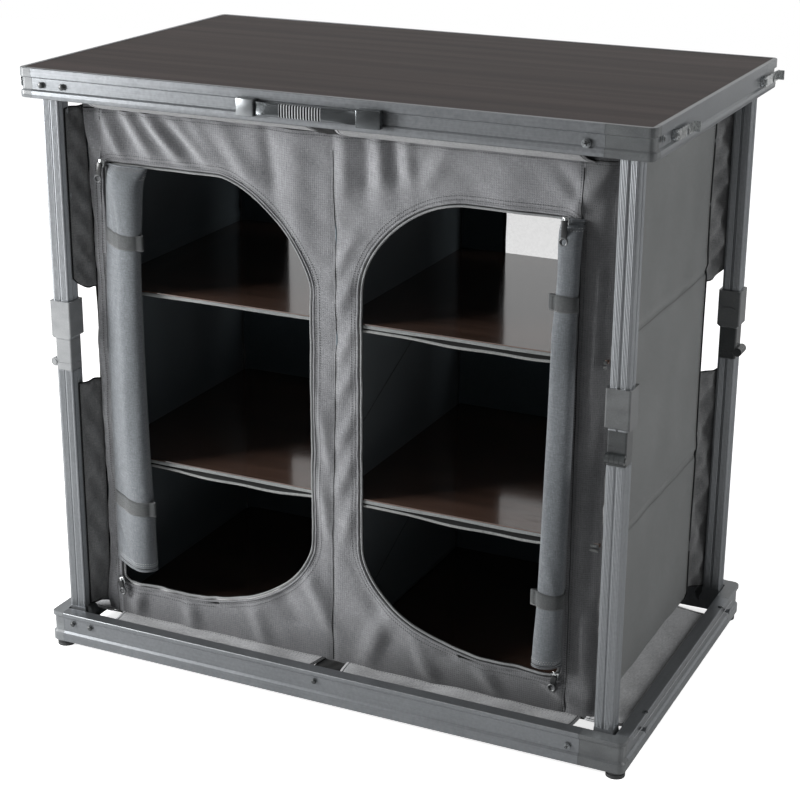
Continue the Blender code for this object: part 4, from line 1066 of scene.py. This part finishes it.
def makeRoll(side, roll, columns=104, rows=96):
    sign, (low, high) = roll["sign"], roll["ends"]
    paths = [rollPath(roll, low + (high - low) * row / rows) for row in range(rows + 1)]
    source = random.Random(5 + sign)
    waves = [(source.uniform(0.05, 0.2), source.uniform(0, 6)) for _ in range(4)]

    def at(u, v):
        m, y = paths[round(v * rows)][round(u * columns)]
        slip = 0.0005 * sum(math.sin(rate * u * columns + shift) for rate, shift in waves)
        return Vector((sign * m, y, low + (high - low) * v + slip * abs(2 * v - 1) ** 6))

    def row(v):
        return [at(u / columns, v) for u in range(columns + 1)]

    length = sum(math.dist(a, b) for a, b in zip(row(0.5), row(0.5)[1:]))
    sew(f"doorRoll{side}", grid(columns, rows, at), rollCloth, (length, high - low),
        f"door_roll_{side.lower()}", thick=0.0014)
    # Hems at both ends: a folded edge, a dark line above it and stitched rows.
    sewCords(f"doorRoll{side}Hem", rollCloth, *((row(v), 0.0014) for v in (0.0, 1.0)))
    sewCords(f"doorRoll{side}HemLine", webbing, *((overRoll(roll, z, 0.0008), 0.0005)
             for z in (low + 0.0040, high - 0.0040)), resolution=1)
    bm = bmesh.new()
    for z in (low + 0.0085, low + 0.0115, high - 0.0080, high - 0.0110):
        addRollStitches(bm, roll, z)
    sew(f"doorRoll{side}Stitches", bm, paleThread)


def makeBand(name, roll, z, high=0.0205):
    # A band from the seam over the roll. Past its inner side it is folded back on itself, which
    # leaves a short tab, and returns behind the roll.
    (middle, _), radius, _ = rollAt(roll, z)
    outer = rollPath(roll, z, 0.0016, winding=False, count=44)
    turn = next(i for i, (m, y) in enumerate(outer) if i > 12 and m < middle - radius * 0.80)
    last = outer[turn]
    tip = (last[0] - 0.0075, last[1] + 0.0012)
    line = [*outer[:turn + 1], ((last[0] + tip[0]) / 2, (last[1] + tip[1]) / 2), tip,
            *((tip[0] - back, tip[1] + behind)
              for back, behind in ((0.0009, 0.0008), (0.0011, 0.0020), (0.0003, 0.0030))),
            (middle - radius * 0.88, last[1] + 0.0062),
            (middle - radius * 0.55, cabinet["front"] - 0.0020),
            (middle, cabinet["front"] - 0.0012)]
    parts = len(line) - 1

    def at(u, v, lift=0.0):
        index = round(u * parts)
        m, y = line[index]
        drop = 0.0020 * max(0.0, 1 - index / 9) ** 2
        sway = 0.0009 * math.sin(index * 0.22) * (v - 0.3)
        return Vector((roll["sign"] * m, y - 0.0007 * math.sin(math.pi * v) - lift,
                       z + (v - 0.5) * high + drop + sway))

    long = sum(math.dist(a, b) for a, b in zip(line, line[1:]))
    sew(name, facing(grid(parts, 6, at), toFront), loopCloth, (long, high), thick=0.0014)
    end = at((turn + 1) / parts, 0.5, 0.0009)
    rows = [[at(i / parts, v, 0.0007) for i in range(2, parts - 6)] for v in (0.10, 0.90)]
    rows.append([end + upwards * high * way for way in (-0.42, 0.42)])
    sewStitches(name + "Stitches", rows, toFront, length=0.0020)


for side, roll in rolls.items():
    makeRoll(side, roll)
    for level, z in zip(("Upper", "Lower"), roll["bands"]):
        makeBand(f"rollBand{level}{side}", roll, z)
print("door rolls made")

# Zip sliders: a saddle with a bridge, a pull, and a pale ring through its end. Place, tilt, length
# of the pull and height over the cloth.
sliders = {"zipTopLeft": (-0.3390, 0.7010, 0.16, 0.014, 0.006),
           "zipBottomLeft": (-0.3400, 0.0960, -0.25, 0.008, 0.003),
           "zipTopRight": (0.3115, 0.7000, 0.02, 0.018, 0.012),
           "zipBottomRight": (0.3150, 0.0960, 0.2, 0.010, 0.0)}
for name, (x, z, tilt, long, lift) in sliders.items():
    turn = (Matrix.Translation(onFront([(x, z)], lift)[0] + toFront * 0.0012)
            @ Matrix.Rotation(tilt, 4, "Y"))
    body, pull, ring = bmesh.new(), bmesh.new(), bmesh.new()
    addBox(body, (-0.0042, -0.0016, -0.0052), (0.0042, 0.0016, 0.0052), 0.0013, 3)
    addBox(body, (-0.0012, -0.0036, -0.0038), (0.0012, -0.0012, 0.0042), 0.0007)
    addBox(pull, (-0.0038, -0.0056, -0.004 - long), (0.0038, -0.0036, 0.0012), 0.0008)
    addTube(ring, [(0.0046 * math.cos(a), -0.0048, -0.0064 - long + 0.0046 * math.sin(a))
                   for a in np.linspace(0, math.tau, 24, endpoint=False)], 0.0014, True, 2)
    for part, bm, material in (("Body", body, steel), ("Pull", pull, hubPlastic),
                               ("Ring", ring, collarPlastic)):
        bmesh.ops.transform(bm, matrix=turn, verts=bm.verts)
        sew(name + part, bm, material)
print("zips made")


# Shelves: a pale band round each front edge, and below three of them a slack hem on dark cloth.
def makeShelfEdge(node, body, hem):
    (x0, front, under), (x1, _, top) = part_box(node)
    x0, length = x0 + 0.002, x1 - x0 - 0.004
    # The band starts on the board's front, so the laminate shows above it.
    start = top - 0.35 * (top - under)
    outline = [(front - 0.0001, start + 0.0002), (front - 0.0005, start),
               (front - 0.0009, start - 0.0006), (front - 0.0011, start - 0.0014),
               (front - 0.0009, under - 0.0003), (front - 0.0002, under - 0.0010),
               (front + 0.0015, under - 0.0013), (front + 0.016, under - 0.0013)]

    def band(u, v):
        reached = v * (len(outline) - 1)
        first = min(int(reached), len(outline) - 2)
        y, z = (a + (b - a) * (reached - first) for a, b in zip(outline[first], outline[first + 1]))
        x = x0 + length * u
        z += 0.0003 * math.sin(37 * x + 2) * (v > 0.5)
        return Vector((x, y + 0.0002 * math.sin(50 * x), z))

    def sag(u):
        slack = 0.0040 * max(0.0, math.sin(math.pi * min(1, max(0, (u - 0.12) / 0.95)))) ** 1.4
        slack *= 1.3 if node.startswith("lower") else 1.0
        return 0.0006 + slack + 0.0006 * math.sin(19 * u)

    def cloth(u, v):
        return Vector((x0 + length * u, front + 0.006 - 0.004 * v,
                       under - 0.0015 - (sag(u) + 0.003) * v))

    def ribbon(u, v):
        puff = 0.0010 * math.sin(math.pi * v)
        return Vector((x0 + length * u, front - 0.0004 - puff + 0.0007 * math.sin(23 * u),
                       under - 0.0016 - sag(u) - 0.0038 * v))

    pieces = [("_band", band, 21, bandCloth, 0.028, "stretched", None, 0.0008),
              ("_slack", cloth, 6, webbing, 0.0104, "hung", length * 0.0068, 0.0008),
              ("_hem", ribbon, 6, hemCloth, 0.0104, "hung", length * 0.0050, 0.0016)]
    for name, at, rows, material, wide, held, area, thick in pieces if hem else pieces[:1]:
        obj = place(node + name, facing(grid(60, rows, at), toFront), material, body)
        asSheet(obj, (length, wide), held, area, thick, -1.0)


for level, side, hem in (("lower", "left", True), ("lower", "right", True),
                         ("upper", "left", False), ("upper", "right", True)):
    makeShelfEdge(f"{level}_shelf_{side}", f"shelves_{level}", hem)
print("shelf edges made")


# Legs: two bands of ribs on each face of a tube, either side of its middle groove. They are drawn
# a little coarser than real ones so that they show. A casting holds each leg's foot pin.
def makeRibs(level, corner, z0, z1):
    node = f"{level}_tube_{corner}"
    bm = bmesh.new()
    for quarter in range(4):
        turn = Matrix.Rotation(math.pi / 2 * quarter, 4, "Z")
        for start in (-0.0093, 0.0019):
            def at(u, v):
                rise = 0.0005 if round(u * 8) % 2 else 0.00004
                spot = Vector((start + 0.0074 * u, -0.0125 - rise, z0 + (z1 - z0) * v))
                return turn @ spot + Vector((*legs[corner], 0))

            band = facing(grid(8, 1, at), turn @ toFront)
            mesh = bpy.data.meshes.new("band")
            band.to_mesh(mesh)
            band.free()
            bm.from_mesh(mesh)
            bpy.data.meshes.remove(mesh)
    place(node + "_ribs", bm, finishes.get(node, tubeZ), f"leg_{level}_{corner}", smooth=20)


def makeFootCasting(corner):
    # The lf and rb legs fold along x and the others along y, so their pins point across.
    lx, ly = legs[corner]
    inward, axis = (-math.copysign(1, lx), 0, 0), (0, 1, 0)
    if corner in ("rf", "lb"):
        inward, axis = (0, -math.copysign(1, ly), 0), (1, 0, 0)
    profile = [(0, -0.0100), (0.0120, -0.0100), (0.0150, -0.0085), (0.0158, -0.0065),
               (0.0158, 0.0065), (0.0150, 0.0085), (0.0120, 0.0100), (0, 0.0100)]
    bm = bmesh.new()
    lathe(bm, profile, Vector((lx, ly, 0.0440)) + Vector(inward) * 0.0085, axis, 28)
    bmesh.ops.recalc_face_normals(bm, faces=bm.faces)
    place("footCasting_" + corner, bm, kneePlastic, "leg_lower_" + corner)


for corner in legs:
    makeFootCasting(corner)
    makeRibs("lower", corner, 0.0580, 0.4125)
    makeRibs("upper", corner, 0.4595, 0.7885)


# Fasteners: domed rivets and countersunk cross-head screws.
def addRivet(bm, spot, axis, radius):
    profile = [(0, 1), (0.45, 0.92), (0.8, 0.6), (1, 0.1), (1, -1 / 3)]
    lathe(bm, [(radius * wide, 0.0018 * high) for wide, high in profile], spot, axis)


def addScrew(bm, spot, axis, radius):
    profile = [(0, 0.0012), (0.45, 0.0011), (0.72, 0.0008), (0.74, 0.0001), (0.82, 0.0001),
               (0.84, 0.0006), (1, 0.0004), (1, -0.0006)]
    lathe(bm, [(radius * wide, high) for wide, high in profile], spot, axis, 20)
    turn = axis.to_track_quat("Z", "Y").to_matrix().to_4x4()
    # The cross is two black bars on the head: painted shade in the cross recess.
    for spin in (0.3, 0.3 + math.pi / 2):
        before = set(bm.faces)
        made = bmesh.ops.create_cube(bm, size=1.0)
        bmesh.ops.transform(bm, verts=made["verts"], matrix=Matrix.Translation(spot + axis * 0.0010)
                            @ turn @ Matrix.Rotation(spin, 4, "Z")
                            @ Matrix.Diagonal((radius * 1.05, 0.0011, 0.0008, 1)))
        for face in set(bm.faces) - before:
            face.material_index = 1


railOut = dict(front=toFront, back=toBack, right=Vector((1, 0, 0)), left=Vector((-1, 0, 0)))


def onRail(rail, side, along, z):
    # A place on the outer face of a rail, and the way out of it.
    out = railOut[side]
    axis = 0 if out.x else 1
    spot = Vector((along, along, z))
    spot[axis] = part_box(f"{rail}_rail_{side}")[1 if sum(out) > 0 else 0][axis]
    return spot, out


# A thin pale bead along the top edge of each base rail: a painted highlight on the extrusion's
# corner.
bm = bmesh.new()
for side, out in railOut.items():
    low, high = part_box("base_rail_" + side)
    axis = 1 if out.x else 0
    addTube(bm, [onRail("base", side, along, high[2] - 0.0006)[0] - out * 0.0006
                 for along in (low[axis] + 0.001, high[axis] - 0.001)], 0.0008, resolution=2)
place("baseRailBeads", bm, highlightBeadMetal, "base")

# On each rail's face: side, place along it, height and radius.
rivets = {"top": [(side, x, 0.8075, 0.0042) for side, x in (
              ("front", -0.395), ("front", -0.363), ("back", 0.363), ("back", 0.395))],
          "base": [(side, x, 0.039, 0.0038) for side, x in (
              ("front", -0.394), ("front", -0.365), ("front", -0.007),
              ("back", 0.365), ("back", 0.394), ("back", 0.007))]}
screws = {"top": [("front", 0.3485, 0.8045, 0.0056), ("right", -0.228, 0.812, 0.0044),
                  ("left", 0.234, 0.812, 0.0044), ("back", -0.353, 0.810, 0.0044)],
          "base": [("front", 0.3546, 0.0325, 0.0044), ("back", -0.3546, 0.0385, 0.0044)]}
for rail in ("top", "base"):
    heads, crosses = bmesh.new(), bmesh.new()
    for side, along, z, radius in rivets[rail]:
        addRivet(heads, *onRail(rail, side, along, z), radius)
    for side, along, z, radius in screws[rail]:
        addScrew(crosses, *onRail(rail, side, along, z), radius)
    if rail == "base":
        # Four more stand on top of the side rails.
        for y in (-0.165, 0.175):
            for side in ("right", "left"):
                spot, out = onRail(rail, side, y, 0.0537)
                addScrew(crosses, spot - out * 0.009, upwards, 0.004)
    place(rail + "Rivets", heads, rivetPlastic, rail)
    place(rail + "Screws", crosses, [screwSteel, hubPlastic], rail, smooth=25)
print("fasteners made")

# Carry handle: two lipped caps, and a strap with a smooth start, fifteen ribs and a smooth end. Its
# middle moves with the handle, and its ends are placed at the caps without a body.
strapLow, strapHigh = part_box("handle_strap")
handle = dict(front=strapLow[1], back=-0.2565, z=(strapLow[2] + strapHigh[2]) / 2, half=0.0082,
              ribs=15, joins=[-0.0752, -0.0402, 0.0168, 0.0628])
# The two caps are alike, but the left one takes a paler plastic than the right: painted highlight.
caps = {"left": (-0.0754, -0.1007, paintedLitCapPlastic), "right": (0.0630, 0.0948, strapPlastic)}


def makeCap(name, inner, outer, material):
    front, back, z = handle["front"], handle["back"], handle["z"]
    bm = bmesh.new()
    for vert in bmesh.ops.create_cube(bm, size=1.0)["verts"]:
        far = (vert.co.x > 0) == (outer > inner)
        vert.co = Vector((outer if far else inner,
                          front + (0.0012 if far else -0.0006) if vert.co.y < 0 else back,
                          z + math.copysign(0.0114 if far else 0.0108, vert.co.z)))
    bmesh.ops.bevel(bm, geom=list(bm.edges), offset=0.0014, segments=3, profile=0.5, affect="EDGES",
                    material=-1)
    # Foot in the rail's groove.
    addBox(bm, (min(inner, outer) + 0.002, back - 0.001, z - 0.006),
           (max(inner, outer) - 0.002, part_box("handle_cap_" + name)[1][1], z + 0.006), 0.0006, 1)
    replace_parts(place("handleCap_" + name, bm, material, "top"), "handle_cap_" + name)


def strapPart(x0, x1, ribs=0):
    # Cross-section rounded at its long edges; the ribs stand upright across it.
    def squared(value):
        return math.copysign(abs(value) ** 0.45, value)

    def at(u, v):
        c, s = math.cos(math.tau * v), math.sin(math.tau * v)
        rise = 0.0
        if ribs and c > 0.1:
            rise = (-0.0013 if 0.30 < (u * ribs) % 1.0 < 0.72 else 0.0004) * min(1.0, (c - 0.1) * 3)
        if not ribs and c > 0:
            # The ends dip towards the caps, so each shows a long rounded shoulder.
            rise -= 0.0034 * (1 - u if x1 < 0 else u) ** 2.4 * c
        return Vector((x0 + (x1 - x0) * u, handle["front"] + 0.0024 - 0.0024 * squared(c) - rise,
                       handle["z"] + handle["half"] * squared(s)))

    bm = grid(ribs * 8 or 16, 24, at)
    bmesh.ops.remove_doubles(bm, verts=bm.verts, dist=1e-6)
    bmesh.ops.holes_fill(bm, edges=[edge for edge in bm.edges if edge.is_boundary], sides=0)
    bmesh.ops.recalc_face_normals(bm, faces=bm.faces)
    return bm


for name, (inner, outer, material) in caps.items():
    makeCap(name, inner, outer, material)
# The black ribs are pale on their tops, a painted highlight; the front faces between them keep the
# black plastic.
x = handle["joins"]
bm = strapPart(x[1], x[2], handle["ribs"])
for face in bm.faces:
    middle = face.calc_center_median()
    beat = ((middle.x - x[1]) / (x[2] - x[1]) * handle["ribs"]) % 1.0
    if middle.y < handle["front"] + 0.0022 and 0.18 < beat < 0.80:
        face.material_index = 1
grip = place("handleRibs", bm, [paintedLitRibPlastic, hubPlastic], "handle", smooth=35)
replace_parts(grip, "handle_strap")
for name, first, start, end in (("handleStrapLeft", 0, "top", "handle"),
                                ("handleStrapRight", 2, "handle", "top")):
    a, b = x[first:first + 2]
    obj = meshObject(name, strapPart(a, b), [strapPlastic], 40)
    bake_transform(obj)
    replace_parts(obj, "handle_strap")
print("handle made")


# Studio: a white floor and backdrop, a large soft key at the front left, and weak fills.
white, paintGrey = (1, 1, 1, 1), (0.86, 0.86, 0.86, 1)


def bareTree(owner):
    owner.use_nodes = True
    owner.node_tree.nodes.clear()
    return owner.node_tree


def seenBy(tree, *kinds):
    # 1 for rays of one or two kinds.
    rays = addNode(tree, "LightPath").node.outputs
    rays = [rays[f"Is {kind} Ray"] for kind in kinds]
    return addNode(tree, "Math", *rays, 0.0, operation="MAXIMUM")


def makePlane(name, material, matrix):
    bm = bmesh.new()
    bmesh.ops.create_grid(bm, x_segments=1, y_segments=1, size=0.5, matrix=matrix)
    meshObject(name, bm, [material])


def makeStudio():
    # The floor is lit by the lamps, and glows the more the farther off, for the camera alone.
    material = bpy.data.materials.new("studioFloor")
    tree = bareTree(material)
    away = addNode(tree, "VectorMath", addNode(tree, "TexCoord", out="Object"),
                   operation="LENGTH", out="Value")
    away = addNode(tree, "MapRange", away, 1.2, 3.5, 0.78, 0.96)
    strength = addNode(tree, "Math", seenBy(tree, "Camera"), away, operation="MULTIPLY")
    both = addNode(tree, "AddShader", addNode(tree, "BsdfDiffuse", paintGrey),
                   addNode(tree, "Emission", white, strength))
    addNode(tree, "OutputMaterial", both)
    makePlane("floor", material, Matrix.Diagonal((18.0, 18.0, 1, 1)))

    # The backdrop far behind is seen by the camera and mirrored in the shelves.
    material = bpy.data.materials.new("studioBackdrop")
    tree = bareTree(material)
    glow = addNode(tree, "Emission", white, seenBy(tree, "Camera", "Glossy"))
    addNode(tree, "OutputMaterial", glow)
    upright = Matrix.Rotation(math.pi / 2, 4, "X") @ Matrix.Diagonal((9.0, 2.80, 1, 1))
    makePlane("backdrop", material, Matrix.Translation((-1.0, 4.6, 1.40)) @ upright)

    scene.world = bpy.data.worlds.new("studio")
    tree = bareTree(scene.world)
    seen = seenBy(tree, "Camera", "Transmission")
    bright = addNode(tree, "Math", seen, 0.84, 0.16, operation="MULTIPLY_ADD")
    addNode(tree, "OutputWorld", addNode(tree, "Background", white, bright))


makeStudio()

# Place, aim, size and power.
lamps = {"key": ((-1.88, -1.30, 1.02), (-0.2, 0, 0.54), 1.0, 100),
         "top": ((-0.2, 0.1, 3.2), (0, 0, 0.5), 2.2, 14),
         "fill": ((2.9, 0.5, 1.45), (0.3, 0, 0.5), 1.6, 46)}
for name, (spot, aim, size, power) in lamps.items():
    light = bpy.data.lights.new(name, "AREA")
    light.size = size
    light.energy = power
    obj = bpy.data.objects.new(name, light)
    obj.location = spot
    obj.rotation_euler = (Vector(aim) - Vector(spot)).to_track_quat("-Z", "Y").to_euler()
    obj.visible_camera = False
    scene.collection.objects.link(obj)
print("studio made")
